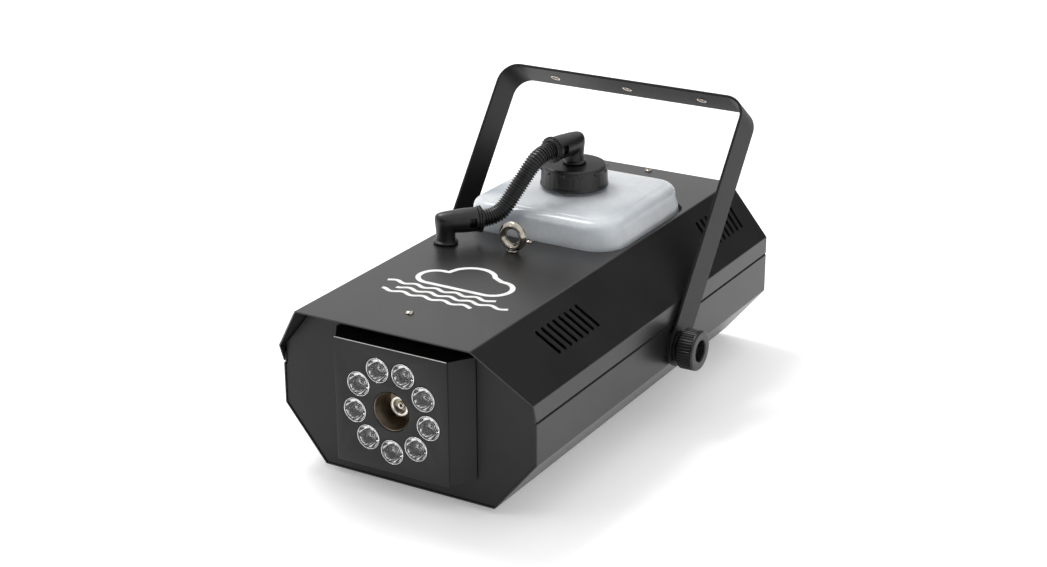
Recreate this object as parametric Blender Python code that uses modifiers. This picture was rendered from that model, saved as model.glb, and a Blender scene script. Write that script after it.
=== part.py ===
"""Fog machine with a ring of LEDs round its nozzle, a lift-out fluid tank and a hanging yoke.

Units are metres, +Z is up, the nozzle faces -Y. The origin is the middle of the bounding box's base.
Most places are given by at(x, y, z): y back from the tray's front edge, z up from the tray's underside.
"""

import math

import bmesh
import bpy
from mathutils import Matrix, Vector

# Housing: an elongated octagon of folded sheet, a lower tray and an upper cover.
HALF_WIDTH = 0.1250
HALF_FLAT = 0.0846
LOW_BEND_Z = 0.0490
SEAM_Z = 0.0877
HIGH_BEND_Z = 0.1045
TOP_Z = 0.1540
TRAY_LENGTH = 0.4450
VISOR_TOP = 0.0350
VISOR_BEND = 0.0059
REAR_PROUD = 0.0012
SHEET = 0.0012
BEND_RADIUS = 0.0022
SEAM_GAP = 0.0012
LIP_INSET = 0.0016
LIP_HEIGHT = 0.0095
GAP = 0.0003
FOOT_HEIGHT = 0.0060
TRAY_FRONT = VISOR_TOP - (VISOR_TOP + TRAY_LENGTH + REAR_PROUD) / 2

# Vent slots in the cover's chamfers.
SLOTS = 8
SLOT_PITCH = 0.0095
SLOT_LENGTH = 0.0300
SLOT_WIDTH = 0.0044
SLOT_MID = 0.445
FRONT_GROUP_Y = 0.0900
FRONT_SLANT = math.radians(27.0)
REAR_GROUP_Y = 0.3840
REAR_SLANT = math.radians(-3.0)

# Head: flared box, lens plate, nine lenses on a ring, nozzle in a cup.
PLATE_Y = -0.0227
PLATE_HALF = 0.0553
PLATE_LOW = 0.0220
PLATE_HIGH = 0.1333
PLATE_THICK = 0.0015
HEAD_BACK_HALF = 0.0680
RING_Z = 0.0775
RING_RADIUS = 0.0366
LENSES = 9
LENS_RADIUS = 0.0109
CUP_RADIUS = 0.0172

# Tank, its bay in the cover, and its cap.
TANK_HALF = 0.0790
TANK_FRONT = 0.2090
TANK_BACK = 0.3655
TANK_FLOOR = 0.0605
TANK_TOP = 0.1820
TANK_CORNER = 0.0260
TANK_WALL = 0.0020
BAY_CLEAR = 0.0022
BAY_FLOOR = 0.0590
CAP_Y = 0.2850
CAP_RADIUS = 0.0315
CAP_LOW = 0.1850
CAP_HIGH = 0.2052
NECK_RADIUS = 0.0245

# Hose and its two elbows.
ELBOW_X = -0.0635
ELBOW_Y = 0.1634
ELBOW_RISE = 0.0196
SOCKET_LENGTH = 0.0290
SOCKET_RADIUS = 0.0110
STEM_RADIUS = 0.0087
HOSE_RADIUS = 0.0080
BORE_RADIUS = 0.0084
HOSE_IN_SOCKET = 0.0100
RING_LENGTH = 0.0045
ELBOW_TURN = math.radians(46.0)
CAP_ELBOW_TURN = math.radians(258.0)

# Yoke, knobs and pivots.
PIVOT_Y = 0.2456
PIVOT_Z = 0.0641
YOKE_LEAN = math.radians(37.5)
YOKE_REACH = 0.2339
YOKE_INNER = 0.1275
YOKE_WIDTH = 0.0360
YOKE_THICK = 0.0025
YOKE_CORNER = 0.0175
YOKE_HOLE_PITCH = 0.0782
BOLT_HOLE_RADIUS = 0.0040
STUD_RADIUS = 0.0040
KNOB_RADIUS = 0.0186
KNOB_FACE = 0.1515

EYE_Y = 0.1735
EYE_RING_RISE = 0.0145
SCREW_YS = {"front": 0.0080, "middle": 0.2020, "rear": 0.4360}
FOOT_XS = (-0.060, 0.060)
FOOT_YS = (0.050, 0.395)
REAR_FACE = TRAY_LENGTH - 0.0010

FINISHES = {  # colour, roughness, metallic
    "black_powder_coat": ((0.030, 0.030, 0.031), 0.42, 0.0),
    "lens_plate_coat": ((0.034, 0.033, 0.033), 0.45, 0.0),
    "clear_lens": ((0.80, 0.82, 0.85), 0.06, 0.0),
    "circuit_board": ((0.03, 0.16, 0.07), 0.55, 0.0),
    "bare_aluminium": ((0.62, 0.61, 0.58), 0.38, 1.0),
    "cup_metal": ((0.23, 0.20, 0.16), 0.40, 1.0),
    "nozzle_steel": ((0.70, 0.69, 0.66), 0.25, 1.0),
    "zinc_steel": ((0.55, 0.54, 0.50), 0.35, 1.0),
    "nickel": ((0.56, 0.53, 0.48), 0.22, 1.0),
    "milky_hdpe": ((0.80, 0.83, 0.86), 0.38, 0.0),
    "black_moulding": ((0.022, 0.021, 0.021), 0.40, 0.0),
    "black_conduit": ((0.024, 0.024, 0.025), 0.34, 0.0),
    "black_rubber": ((0.018, 0.018, 0.018), 0.75, 0.0),
    "clear_hose": ((0.75, 0.76, 0.74), 0.30, 0.0),
    "pump_moulding": ((0.10, 0.11, 0.12), 0.50, 0.0),
    "dark_display": ((0.02, 0.02, 0.022), 0.12, 0.0),
    "red_rocker": ((0.45, 0.02, 0.02), 0.30, 0.0),
}


def at(x, y, z):
    """A point in the part's frame from its place on the housing."""
    return Vector((x, TRAY_FRONT + y, FOOT_HEIGHT + z))


def finish(name):
    """The material of that name, made when it is first asked for."""
    if name in bpy.data.materials:
        return bpy.data.materials[name]
    colour, roughness, metallic = FINISHES[name]
    made = bpy.data.materials.new(name)
    made.use_nodes = True
    shader = made.node_tree.nodes["Principled BSDF"]
    shader.inputs["Base Color"].default_value = (*colour, 1.0)
    shader.inputs["Roughness"].default_value = roughness
    shader.inputs["Metallic"].default_value = metallic
    made.diffuse_color = (*colour, 1.0)
    return made


def part(name, mesh, coat):
    """A named piece of the object."""
    piece = bpy.data.objects.new(name, mesh)
    PARTS.objects.link(piece)
    mesh.materials.clear()
    mesh.materials.append(finish(coat))
    return piece


def tool(name, mesh):
    """A hidden shape that cuts or joins a piece."""
    shape = bpy.data.objects.new(name, mesh)
    CUTTERS.objects.link(shape)
    shape.hide_render = True
    shape.display_type = "WIRE"
    return shape


def as_tool(piece):
    """Moves a finished shape to the cutters."""
    PARTS.objects.unlink(piece)
    CUTTERS.objects.link(piece)
    piece.hide_render = True
    piece.display_type = "WIRE"
    return piece


def combine(piece, other, operation):
    """A live Boolean of one object with another."""
    step = piece.modifiers.new(operation.lower() + "_" + other.name, "BOOLEAN")
    step.operation = operation
    step.object = other
    step.solver = "EXACT"
    return piece


def cut(piece, *others):
    for other in others:
        combine(piece, other, "DIFFERENCE")
    return piece


def join(piece, *others):
    for other in others:
        combine(piece, other, "UNION")
    return piece


def mesh_of(name, bm, smooth_angle=35.0):
    """A mesh from a bmesh, smooth except at sharp edges."""
    mesh = bpy.data.meshes.new(name)
    bm.to_mesh(mesh)
    bm.free()
    mesh.shade_smooth()
    mesh.set_sharp_from_angle(angle=math.radians(smooth_angle))
    return mesh


def box_mesh(name, low, high, bevel=0.0, segments=2):
    """An axis-aligned box between two corners, with its edges rounded if asked."""
    bm = bmesh.new()
    low, high = Vector(low), Vector(high)
    size = high - low
    place = Matrix.Translation((low + high) / 2) @ Matrix.Diagonal((*size, 1.0))
    bmesh.ops.create_cube(bm, size=1.0, matrix=place)
    if bevel:
        bmesh.ops.bevel(bm, geom=bm.edges[:], offset=bevel, segments=segments, affect="EDGES", profile=0.5)
    return mesh_of(name, bm)


def direction_matrix(point, direction, spin=0.0):
    """Puts a shape's own +Z along a direction, with its origin at a point."""
    turn = Vector(direction).to_track_quat("Z", "Y").to_matrix().to_4x4()
    return Matrix.Translation(point) @ turn @ Matrix.Rotation(spin, 4, "Z")


def rod_mesh(name, radius, start, end, sides=16):
    """A straight cylinder between two points."""
    bm = bmesh.new()
    start, end = Vector(start), Vector(end)
    bmesh.ops.create_cone(
        bm, cap_ends=True, segments=sides, radius1=radius, radius2=radius, depth=(end - start).length,
        matrix=direction_matrix((start + end) / 2, end - start),
    )
    return mesh_of(name, bm)


def turned(name, profile, coat, point, direction=(0, 0, 1), steps=24):
    """A turned piece: (radius, height) points down the outer side, spun about an axis from a point."""
    mesh = bpy.data.meshes.new(name)
    count = len(profile)
    closed = profile[0][0] > 0 and profile[-1][0] > 0
    edges = [(i, i + 1) for i in range(count - 1)]
    if closed:
        edges.append((count - 1, 0))
    mesh.from_pydata([(radius, 0.0, height) for radius, height in profile], edges, [])
    piece = part(name, mesh, coat)
    piece.matrix_world = direction_matrix(point, direction)
    spin = piece.modifiers.new("spin", "SCREW")
    spin.steps = steps
    spin.render_steps = steps
    spin.use_merge_vertices = True
    spin.merge_threshold = 0.00001
    spin.use_smooth_shade = True
    return piece


def baked(piece):
    """The piece with its modifiers and its place applied to a plain mesh."""
    bpy.context.view_layer.update()
    shown = piece.evaluated_get(bpy.context.evaluated_depsgraph_get())
    mesh = bpy.data.meshes.new_from_object(shown)
    bm = bmesh.new()
    bm.from_mesh(mesh)
    bmesh.ops.remove_doubles(bm, verts=bm.verts[:], dist=0.000005)
    bmesh.ops.transform(bm, matrix=piece.matrix_world, verts=bm.verts[:])
    name = piece.name
    coat = piece.material_slots[0].name
    bpy.data.meshes.remove(mesh)
    bpy.data.objects.remove(piece)
    return part(name, mesh_of(name, bm), coat)


def plate(name, outlines, thickness, coat, place):
    """A flat plate: closed outlines in its own XY plane, the first one outside and the rest holes."""
    curve = bpy.data.curves.new(name, "CURVE")
    curve.dimensions = "2D"
    curve.fill_mode = "BOTH"
    curve.extrude = thickness / 2
    for outline in outlines:
        spline = curve.splines.new("POLY")
        spline.points.add(len(outline) - 1)
        for knot, (u, v) in zip(spline.points, outline):
            knot.co = (u, v, 0.0, 1.0)
        spline.use_cyclic_u = True
    flat = part(name, curve, coat)
    flat.matrix_world = place
    return baked(flat)


def facing_front(x, y, z):
    """A place whose own X is +X and own Y is +Z, for a plate that faces -Y."""
    return Matrix.Translation(at(x, y, z)) @ Matrix.Rotation(math.pi / 2, 4, "X")


def circle(radius, u=0.0, v=0.0, sides=24):
    return [
        (u + radius * math.cos(2 * math.pi * i / sides), v + radius * math.sin(2 * math.pi * i / sides))
        for i in range(sides)
    ]


def rounded(points, radius, segments=3, closed=False):
    """A path whose corners are arcs of a radius. The ends of an open path stay as they are."""
    path = []
    count = len(points)
    for i, corner in enumerate(points):
        if not closed and i in (0, count - 1):
            path.append(tuple(corner))
            continue
        corner = Vector(corner)
        before = (Vector(points[i - 1]) - corner).normalized()
        after = (Vector(points[(i + 1) % count]) - corner).normalized()
        half = before.angle(after) / 2
        back = radius / math.tan(half)
        centre = corner + (before + after).normalized() * (radius / math.sin(half))
        first = corner + before * back - centre
        last = corner + after * back - centre
        for step in range(segments + 1):
            share = step / segments
            path.append(tuple(centre + first.slerp(last, share) * radius))
    return path


def folded_sheet(name, profile, front, back, coat, thickness=SHEET, front_edge=None):
    """A folded sheet: an (x, z) path of its outer face, run along Y and thickened inwards."""
    bm = bmesh.new()
    row = [bm.verts.new(at(x, front, z)) for x, z in profile]
    edges = [bm.edges.new(pair) for pair in zip(row, row[1:])]
    grown = bmesh.ops.extrude_edge_only(bm, edges=edges)["geom"]
    far = [v for v in grown if isinstance(v, bmesh.types.BMVert)]
    bmesh.ops.translate(bm, verts=far, vec=(0.0, back - front, 0.0))
    if front_edge:
        for vert, (_, z) in zip(row, profile):
            vert.co.y = TRAY_FRONT + front_edge(z)
    bm.normal_update()
    heart = at(0.0, (front + back) / 2, (profile[0][1] + profile[len(profile) // 2][1]) / 2)
    outward = sum(f.calc_area() * f.normal.dot(f.calc_center_median() - heart) for f in bm.faces)
    if outward < 0:
        bmesh.ops.reverse_faces(bm, faces=bm.faces[:])
    piece = part(name, mesh_of(name, bm), coat)
    wall = piece.modifiers.new("wall", "SOLIDIFY")
    wall.thickness = thickness
    wall.offset = -1.0
    wall.use_even_offset = True
    return piece


def rounded_prism(name, half, front, back, low, high, corner, segments=5):
    """A box on the centre line with rounded upright corners."""
    mesh = bpy.data.meshes.new(name)
    bm = bmesh.new()
    place = Matrix.Translation(at(0.0, (front + back) / 2, (low + high) / 2))
    place = place @ Matrix.Diagonal((2 * half, back - front, high - low, 1.0))
    bmesh.ops.create_cube(bm, size=1.0, matrix=place)
    upright = [e for e in bm.edges if abs(e.verts[0].co.z - e.verts[1].co.z) > (high - low) / 2]
    bmesh.ops.bevel(bm, geom=upright, offset=corner, segments=segments, affect="EDGES", profile=0.5)
    bm.to_mesh(mesh)
    bm.free()
    return mesh


def round_rims(mesh, top_radius, low_radius, top_segments=4, low_segments=2):
    """Rounds the top and the bottom rim of a prism."""
    bm = bmesh.new()
    bm.from_mesh(mesh)
    high = max(v.co.z for v in bm.verts)
    low = min(v.co.z for v in bm.verts)
    for level, radius, segments in ((high, top_radius, top_segments), (low, low_radius, low_segments)):
        rim = [e for e in bm.edges if all(abs(v.co.z - level) < 1e-6 for v in e.verts)]
        bmesh.ops.bevel(bm, geom=rim, offset=radius, segments=segments, affect="EDGES", profile=0.5)
    bm.to_mesh(mesh)
    bm.free()
    mesh.shade_smooth()
    return mesh


def smooth_route(points, count):
    """A Catmull-Rom curve through points, read at evenly spaced places."""
    points = [Vector(p) for p in points]
    ends = [2 * points[0] - points[1]] + points + [2 * points[-1] - points[-2]]
    fine = []
    for i in range(len(points) - 1):
        p0, p1, p2, p3 = ends[i:i + 4]
        for step in range(24):
            t = step / 24
            cubic = (
                2 * p1 + (p2 - p0) * t + (2 * p0 - 5 * p1 + 4 * p2 - p3) * t * t
                + (3 * p1 - p0 - 3 * p2 + p3) * t * t * t
            )
            fine.append(cubic / 2)
    fine.append(points[-1])
    lengths = [0.0]
    for a, b in zip(fine, fine[1:]):
        lengths.append(lengths[-1] + (b - a).length)
    route = []
    spot = 0
    for k in range(count):
        goal = lengths[-1] * k / (count - 1)
        while spot < len(fine) - 2 and lengths[spot + 1] < goal:
            spot += 1
        span = lengths[spot + 1] - lengths[spot]
        route.append(fine[spot].lerp(fine[spot + 1], (goal - lengths[spot]) / span))
    return route


def tube(name, route, radius, coat, resolution=2):
    """A round tube along a route."""
    curve = bpy.data.curves.new(name, "CURVE")
    curve.dimensions = "3D"
    curve.bevel_depth = radius
    curve.bevel_resolution = resolution
    curve.use_fill_caps = True
    spline = curve.splines.new("POLY")
    spline.points.add(len(route) - 1)
    for knot, place in zip(spline.points, route):
        knot.co = (*place, 1.0)
    return part(name, curve, coat)


def set_origin(piece, point):
    """Moves a piece's origin, and not the piece, to a point."""
    piece.data.transform(Matrix.Translation(-Vector(point)))
    piece.location = point
    return piece


# ---- housing ----

def visor_edge(z):
    """How far back the cover's front edge lies at a height: a slanted visor over the front panel."""
    if z <= HIGH_BEND_Z:
        return -VISOR_BEND * max(0.0, z - SEAM_Z) / (HIGH_BEND_Z - SEAM_Z)
    rise = (z - HIGH_BEND_Z) / (TOP_Z - HIGH_BEND_Z)
    return -VISOR_BEND - (VISOR_TOP - VISOR_BEND) * rise


def pivot(side):
    return at(side * HALF_WIDTH, PIVOT_Y, PIVOT_Z)


def base_tray():
    lip_x = HALF_WIDTH - LIP_INSET
    edge = SEAM_Z - SEAM_GAP / 2
    side = [(lip_x, edge + LIP_HEIGHT), (lip_x, edge + 0.0006), (HALF_WIDTH, edge - 0.0012)]
    side += [(HALF_WIDTH, LOW_BEND_Z), (HALF_FLAT, 0.0)]
    outline = side + [(-x, z) for x, z in reversed(side)]
    upper, lower = outline[:3], outline[3:7]
    profile = upper + rounded([upper[-1], *lower, outline[7]], BEND_RADIUS)[1:-1] + outline[7:]
    tray = folded_sheet("base_tray", profile, 0.0, TRAY_LENGTH, "black_powder_coat")
    for side in (-1, 1):
        inner = pivot(side) - Vector((side * (SHEET - 0.0005), 0, 0))
        nut = rod_mesh(f"weld_nut_{side}", 0.0075, inner, inner - Vector((side * 0.0075, 0, 0)), sides=6)
        join(tray, tool(f"weld_nut_{side}", nut))
        reach = Vector((side * 0.02, 0, 0))
        bore = rod_mesh(f"stud_bore_{side}", STUD_RADIUS + GAP, pivot(side) - reach, pivot(side) + reach)
        cut(tray, tool(f"stud_bore_{side}", bore))
    for x in FOOT_XS:
        for y in FOOT_YS:
            hole = rod_mesh("foot_hole", 0.0029, at(x, y, -0.003), at(x, y, 0.004), sides=12)
            cut(tray, tool("foot_hole", hole))
    return tray


def slot_group(side, middle_y, slant):
    """The prisms that cut one group of vent slots through a chamfer."""
    run = Vector((side * (HALF_WIDTH - HALF_FLAT), 0, HIGH_BEND_Z - TOP_Z))
    down = run.normalized()
    normal = down.cross(Vector((0, 1, 0))) * side
    middle = at(side * HALF_FLAT, middle_y, TOP_Z) + run * SLOT_MID
    bm = bmesh.new()
    for i in range(SLOTS):
        along = down * math.cos(slant) + Vector((0, 1, 0)) * math.sin(slant)
        across = normal.cross(along)
        centre = middle + Vector((0, (i - (SLOTS - 1) / 2) * SLOT_PITCH, 0))
        turn = Matrix((along, across, normal)).transposed().to_4x4()
        pill = bmesh.ops.create_cone(
            bm, cap_ends=True, segments=8, radius1=SLOT_WIDTH / 2, radius2=SLOT_WIDTH / 2, depth=0.012,
            matrix=Matrix.Rotation(math.pi / 8, 4, "Z"),
        )["verts"]
        for vert in pill:
            vert.co.x += math.copysign((SLOT_LENGTH - SLOT_WIDTH) / 2, vert.co.x)
        bmesh.ops.transform(bm, matrix=Matrix.Translation(centre) @ turn, verts=pill)
    bmesh.ops.recalc_face_normals(bm, faces=bm.faces[:])
    return tool("vent_slots", mesh_of("vent_slots", bm))


def top_cover():
    edge = SEAM_Z + SEAM_GAP / 2
    side = [(HALF_WIDTH, edge), (HALF_WIDTH, HIGH_BEND_Z), (HALF_FLAT, TOP_Z)]
    outline = side + [(-x, z) for x, z in reversed(side)]
    profile = rounded(outline, BEND_RADIUS)
    cover = folded_sheet("top_cover", profile, 0.0, TRAY_LENGTH, "black_powder_coat", front_edge=visor_edge)
    under = at(0.0, EYE_Y, TOP_Z - SHEET + 0.0005)
    nut = rod_mesh("eye_nut", 0.0065, under, under - Vector((0, 0, 0.0055)), sides=6)
    join(cover, tool("eye_nut", nut))
    for side in (-1, 1):
        cut(cover, slot_group(side, FRONT_GROUP_Y, FRONT_SLANT), slot_group(side, REAR_GROUP_Y, REAR_SLANT))
    bay = rounded_prism(
        "bay_opening", TANK_HALF + BAY_CLEAR, TANK_FRONT - BAY_CLEAR, TANK_BACK + BAY_CLEAR,
        TOP_Z - 0.01, TOP_Z + 0.01, TANK_CORNER + BAY_CLEAR,
    )
    cut(cover, tool("bay_opening", bay))
    holes = [(ELBOW_X, ELBOW_Y, STEM_RADIUS + 0.0001), (0.0, EYE_Y, 0.0033)]
    holes += [(0.0, y, 0.0021) for y in SCREW_YS.values()]
    for x, y, radius in holes:
        hole = rod_mesh("cover_hole", radius, at(x, y, TOP_Z - 0.012), at(x, y, TOP_Z + 0.006))
        cut(cover, tool("cover_hole", hole))
    return cover


def end_outline():
    """The octagon that closes an end of the housing, inside both folded sheets."""
    wide = HALF_WIDTH - SHEET - GAP
    narrow = HALF_WIDTH - LIP_INSET - SHEET - GAP
    step = SEAM_Z - 0.0035
    low, high = SHEET + GAP, TOP_Z - SHEET - GAP
    ease = 0.0008
    side = [
        (HALF_FLAT - ease, low), (wide, LOW_BEND_Z + ease), (wide, step), (narrow, step + 0.0012),
        (narrow, HIGH_BEND_Z), (HALF_FLAT - ease, high),
    ]
    return side + [(-x, z) for x, z in reversed(side)]


def end_panel(name, face_y, inward, holes):
    """An end panel with a top flange that the cover's screw goes into."""
    middle = face_y + inward * SHEET / 2
    panel = plate(name, [end_outline()] + holes, SHEET, "black_powder_coat", facing_front(0, middle, 0))
    high = TOP_Z - SHEET - GAP
    ys = sorted((face_y + inward * 0.0004, face_y + inward * 0.0170))
    flange = box_mesh(name + "_flange", at(-0.070, ys[0], high - SHEET), at(0.070, ys[1], high - 0.0001))
    join(panel, tool(name + "_flange", flange))
    return panel


def front_panel():
    window = [(-0.050, 0.030), (0.050, 0.030), (0.050, 0.126), (-0.050, 0.126)]
    panel = end_panel("front_panel", 0.0010, 1, [window])
    screw = rod_mesh(
        "front_screw_hole", 0.0019, at(0, SCREW_YS["front"], 0.14), at(0, SCREW_YS["front"], 0.16), 12,
    )
    return cut(panel, tool("front_screw_hole", screw))


def head_box():
    bm = bmesh.new()
    bmesh.ops.create_cube(bm, size=1.0)
    ends = [f for f in bm.faces if abs(f.normal.y) > 0.5]
    bmesh.ops.delete(bm, geom=ends, context="FACES_ONLY")
    front, back = PLATE_Y + PLATE_THICK + GAP, 0.0010 - GAP - 0.0008
    for vert in bm.verts:
        half = PLATE_HALF - 0.0010 if vert.co.y < 0 else HEAD_BACK_HALF
        y = front if vert.co.y < 0 else back
        z = PLATE_HIGH - 0.0008 if vert.co.z > 0 else PLATE_LOW + 0.0008
        vert.co = at(math.copysign(half, vert.co.x), y, z)
    box = part("head_box", mesh_of("head_box", bm), "black_powder_coat")
    wall = box.modifiers.new("wall", "SOLIDIFY")
    wall.thickness = SHEET
    wall.offset = -1.0
    wall.use_even_offset = True
    return box


def lens_spots():
    """The (x, z) places of the lenses on their ring, the first one at the bottom."""
    for i in range(LENSES):
        angle = -math.pi / 2 + 2 * math.pi * i / LENSES
        yield RING_RADIUS * math.cos(angle), RING_Z + RING_RADIUS * math.sin(angle)


def lens_plate():
    frame = [
        (-PLATE_HALF, PLATE_LOW), (PLATE_HALF, PLATE_LOW), (PLATE_HALF, PLATE_HIGH),
        (-PLATE_HALF, PLATE_HIGH),
    ]
    outlines = [frame, circle(CUP_RADIUS + 2 * GAP, 0.0, RING_Z, 24)]
    outlines += [circle(LENS_RADIUS + 2 * GAP, x, z, 16) for x, z in lens_spots()]
    return plate(
        "lens_plate", outlines, PLATE_THICK, "lens_plate_coat",
        facing_front(0, PLATE_Y + PLATE_THICK / 2, 0),
    )


def led_lenses():
    profile = [
        (0.0, 0.0018), (0.0070, 0.0012), (LENS_RADIUS, -0.0004), (LENS_RADIUS, -0.0026), (0.0090, -0.0036),
        (0.0048, -0.0088), (0.0, -0.0088),
    ]
    for number, (x, z) in enumerate(lens_spots(), 1):
        turned(f"led_lens_{number}", profile, "clear_lens", at(x, PLATE_Y, z), (0, -1, 0), 16)


def led_board():
    depth = PLATE_Y + 0.0088 + GAP + 0.0008
    outlines = [circle(0.0495, 0.0, RING_Z, 28), circle(CUP_RADIUS + 0.0014, 0.0, RING_Z, 24)]
    plate("led_board", outlines, 0.0016, "circuit_board", facing_front(0, depth, 0))


def nozzle_cup():
    skin, floor, hole = 0.0006, -0.0240, 0.0096
    foot = CUP_RADIUS - 0.0004
    profile = [
        (CUP_RADIUS, 0.0), (foot, floor), (hole, floor), (hole, floor + skin), (foot - skin, floor + skin),
        (CUP_RADIUS - skin, 0.0),
    ]
    turned("nozzle_cup", profile, "cup_metal", at(0, PLATE_Y, RING_Z), (0, -1, 0), 24)


def nozzle():
    profile = [
        (0.0061, -0.0122), (0.0086, -0.0122), (0.0093, -0.0129), (0.0093, -0.0310), (0.0060, -0.0310),
        (0.0060, -0.0430), (0.0014, -0.0430), (0.0014, -0.0180), (0.0061, -0.0180),
    ]
    turned("nozzle", profile, "nozzle_steel", at(0, PLATE_Y, RING_Z), (0, -1, 0), 16)


# ---- inside the housing ----

HEATER_HALF = 0.0350
HEATER_FRONT = 0.0206
HEATER_BACK = 0.1500
HEATER_LOW = RING_Z - 0.0260
HEATER_HIGH = RING_Z + 0.0260
PUMP_Z = 0.0255


def heater_block():
    mesh = box_mesh(
        "heater_block", at(
            -HEATER_HALF, HEATER_FRONT, HEATER_LOW,
        ), at(HEATER_HALF, HEATER_BACK, HEATER_HIGH),
        0.0025, 1,
    )
    block = part("heater_block", mesh, "bare_aluminium")
    for x in (-0.020, 0.020):
        stub = rod_mesh(
            "element_end", 0.0042, at(x, HEATER_BACK - 0.002, RING_Z - 0.014), at(x, 0.166, RING_Z - 0.014),
            10,
        )
        join(block, tool("element_end", stub))
    inlet = rod_mesh("fluid_inlet", 0.0028, at(0, HEATER_BACK - 0.002, RING_Z), at(0, 0.160, RING_Z), 10)
    join(block, tool("fluid_inlet", inlet))


def heater_bracket():
    leg = HEATER_HALF + GAP + SHEET
    low = SHEET + GAP
    side = [(leg + 0.0150, low + SHEET), (leg, low + SHEET), (leg, HEATER_HIGH + GAP + SHEET)]
    outline = side + [(-x, z) for x, z in reversed(side)]
    folded_sheet("heater_bracket", outline, 0.060, 0.112, "zinc_steel")


def thermostat():
    profile = [
        (0.0, 0.0080), (
            0.0062, 0.0080,
        ), (0.0070, 0.0072), (0.0070, 0.0020), (0.0105, 0.0016), (0.0105, 0.0),
        (0.0, 0.0),
    ]
    turned("thermostat", profile, "black_moulding", at(0, 0.132, HEATER_HIGH + GAP), (0, 0, 1), 16)


def pump():
    body = part(
        "pump", box_mesh("pump", at(-0.024, 0.252, SHEET + GAP), at(0.024, 0.304, 0.048), 0.002, 1),
        "pump_moulding",
    )
    barrel = rod_mesh("pump_barrel", 0.0175, at(0, 0.228, PUMP_Z), at(0, 0.334, PUMP_Z), 20)
    front_tip = rod_mesh("pump_inlet", 0.0030, at(0, 0.216, PUMP_Z), at(0, 0.230, PUMP_Z), 12)
    rear_tip = rod_mesh("pump_outlet", 0.0030, at(0, 0.332, PUMP_Z), at(0, 0.346, PUMP_Z), 12)
    join(body, tool("pump_barrel", barrel), tool("pump_inlet", front_tip), tool("pump_outlet", rear_tip))


def inner_tubes():
    down = [
        at(ELBOW_X, ELBOW_Y, TOP_Z - 0.0190 - GAP), at(ELBOW_X, ELBOW_Y, 0.110), at(ELBOW_X, 0.166, 0.075),
        at(-0.050, 0.172, 0.045), at(-0.022, 0.180, PUMP_Z + 0.003), at(-0.003, 0.196, PUMP_Z),
        at(0.0, 0.206, PUMP_Z), at(0.0, 0.2155, PUMP_Z),
    ]
    tube("suction_tube", smooth_route(down, 20), 0.0030, "clear_hose")
    back = [
        at(0.0, 0.3468, PUMP_Z), at(0.0, 0.355, PUMP_Z), at(0.012, 0.366, PUMP_Z), at(0.036, 0.356, 0.028),
        at(0.052, 0.330, 0.030), at(0.054, 0.280, 0.032), at(0.054, 0.225, 0.036), at(0.044, 0.190, 0.052),
        at(0.018, 0.184, 0.070),
        at(0.002, 0.177, RING_Z), at(0.0, 0.169, RING_Z), at(0.0, 0.1605, RING_Z),
    ]
    tube("pressure_tube", smooth_route(back, 30), 0.0028, "clear_hose")


def control_board():
    board_y = 0.4020
    board = part(
        "control_board",
        box_mesh("control_board", at(-0.072, board_y, 0.066), at(0.030, board_y + 0.0016, 0.136)),
        "circuit_board",
    )
    blocks = [
        ("relay", -0.064, -0.046, 0.0150, 0.072, 0.090), (
            "relay_two", -0.040, -0.022, 0.0150, 0.072, 0.090,
        ),
        ("chip", -0.030, -0.012, 0.0035, 0.104, 0.122), ("terminal", -0.006, 0.024, 0.0110, 0.070, 0.080),
    ]
    for name, left, right, deep, low, high in blocks:
        block = box_mesh(name, at(left, board_y - deep, low), at(right, board_y + 0.0008, high))
        join(board, tool(name, block))


def power_supply():
    wall = -(HALF_WIDTH - LIP_INSET - SHEET - GAP)
    mesh = box_mesh("power_supply", at(wall, 0.278, 0.0560), at(wall + 0.030, 0.392, 0.0840), 0.0015, 1)
    part("power_supply", mesh, "bare_aluminium")


def tank_bay():
    skin = 0.0010
    half, front, back = TANK_HALF + BAY_CLEAR, TANK_FRONT - BAY_CLEAR, TANK_BACK + BAY_CLEAR
    high = TOP_Z - SHEET - GAP
    outer = rounded_prism(
        "tank_bay", half + skin, front - skin, back + skin, BAY_FLOOR - skin, high,
        TANK_CORNER + BAY_CLEAR + skin,
    )
    bay = part("tank_bay", outer, "zinc_steel")
    shelf = box_mesh(
        "bay_shelf", at(-0.035, front - 0.0135, high - SHEET),
        at(0.035, front - skin + 0.0006, high - 0.0001),
    )
    join(bay, tool("bay_shelf", shelf))
    hollow = rounded_prism("bay_hollow", half, front, back, BAY_FLOOR, high + 0.01, TANK_CORNER + BAY_CLEAR)
    cut(bay, tool("bay_hollow", hollow))
    screw = rod_mesh(
        "bay_screw_hole", 0.0019, at(0, SCREW_YS["middle"], 0.14), at(0, SCREW_YS["middle"], 0.16), 12,
    )
    cut(bay, tool("bay_screw_hole", screw))


# ---- tank, cap and hose ----

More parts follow.
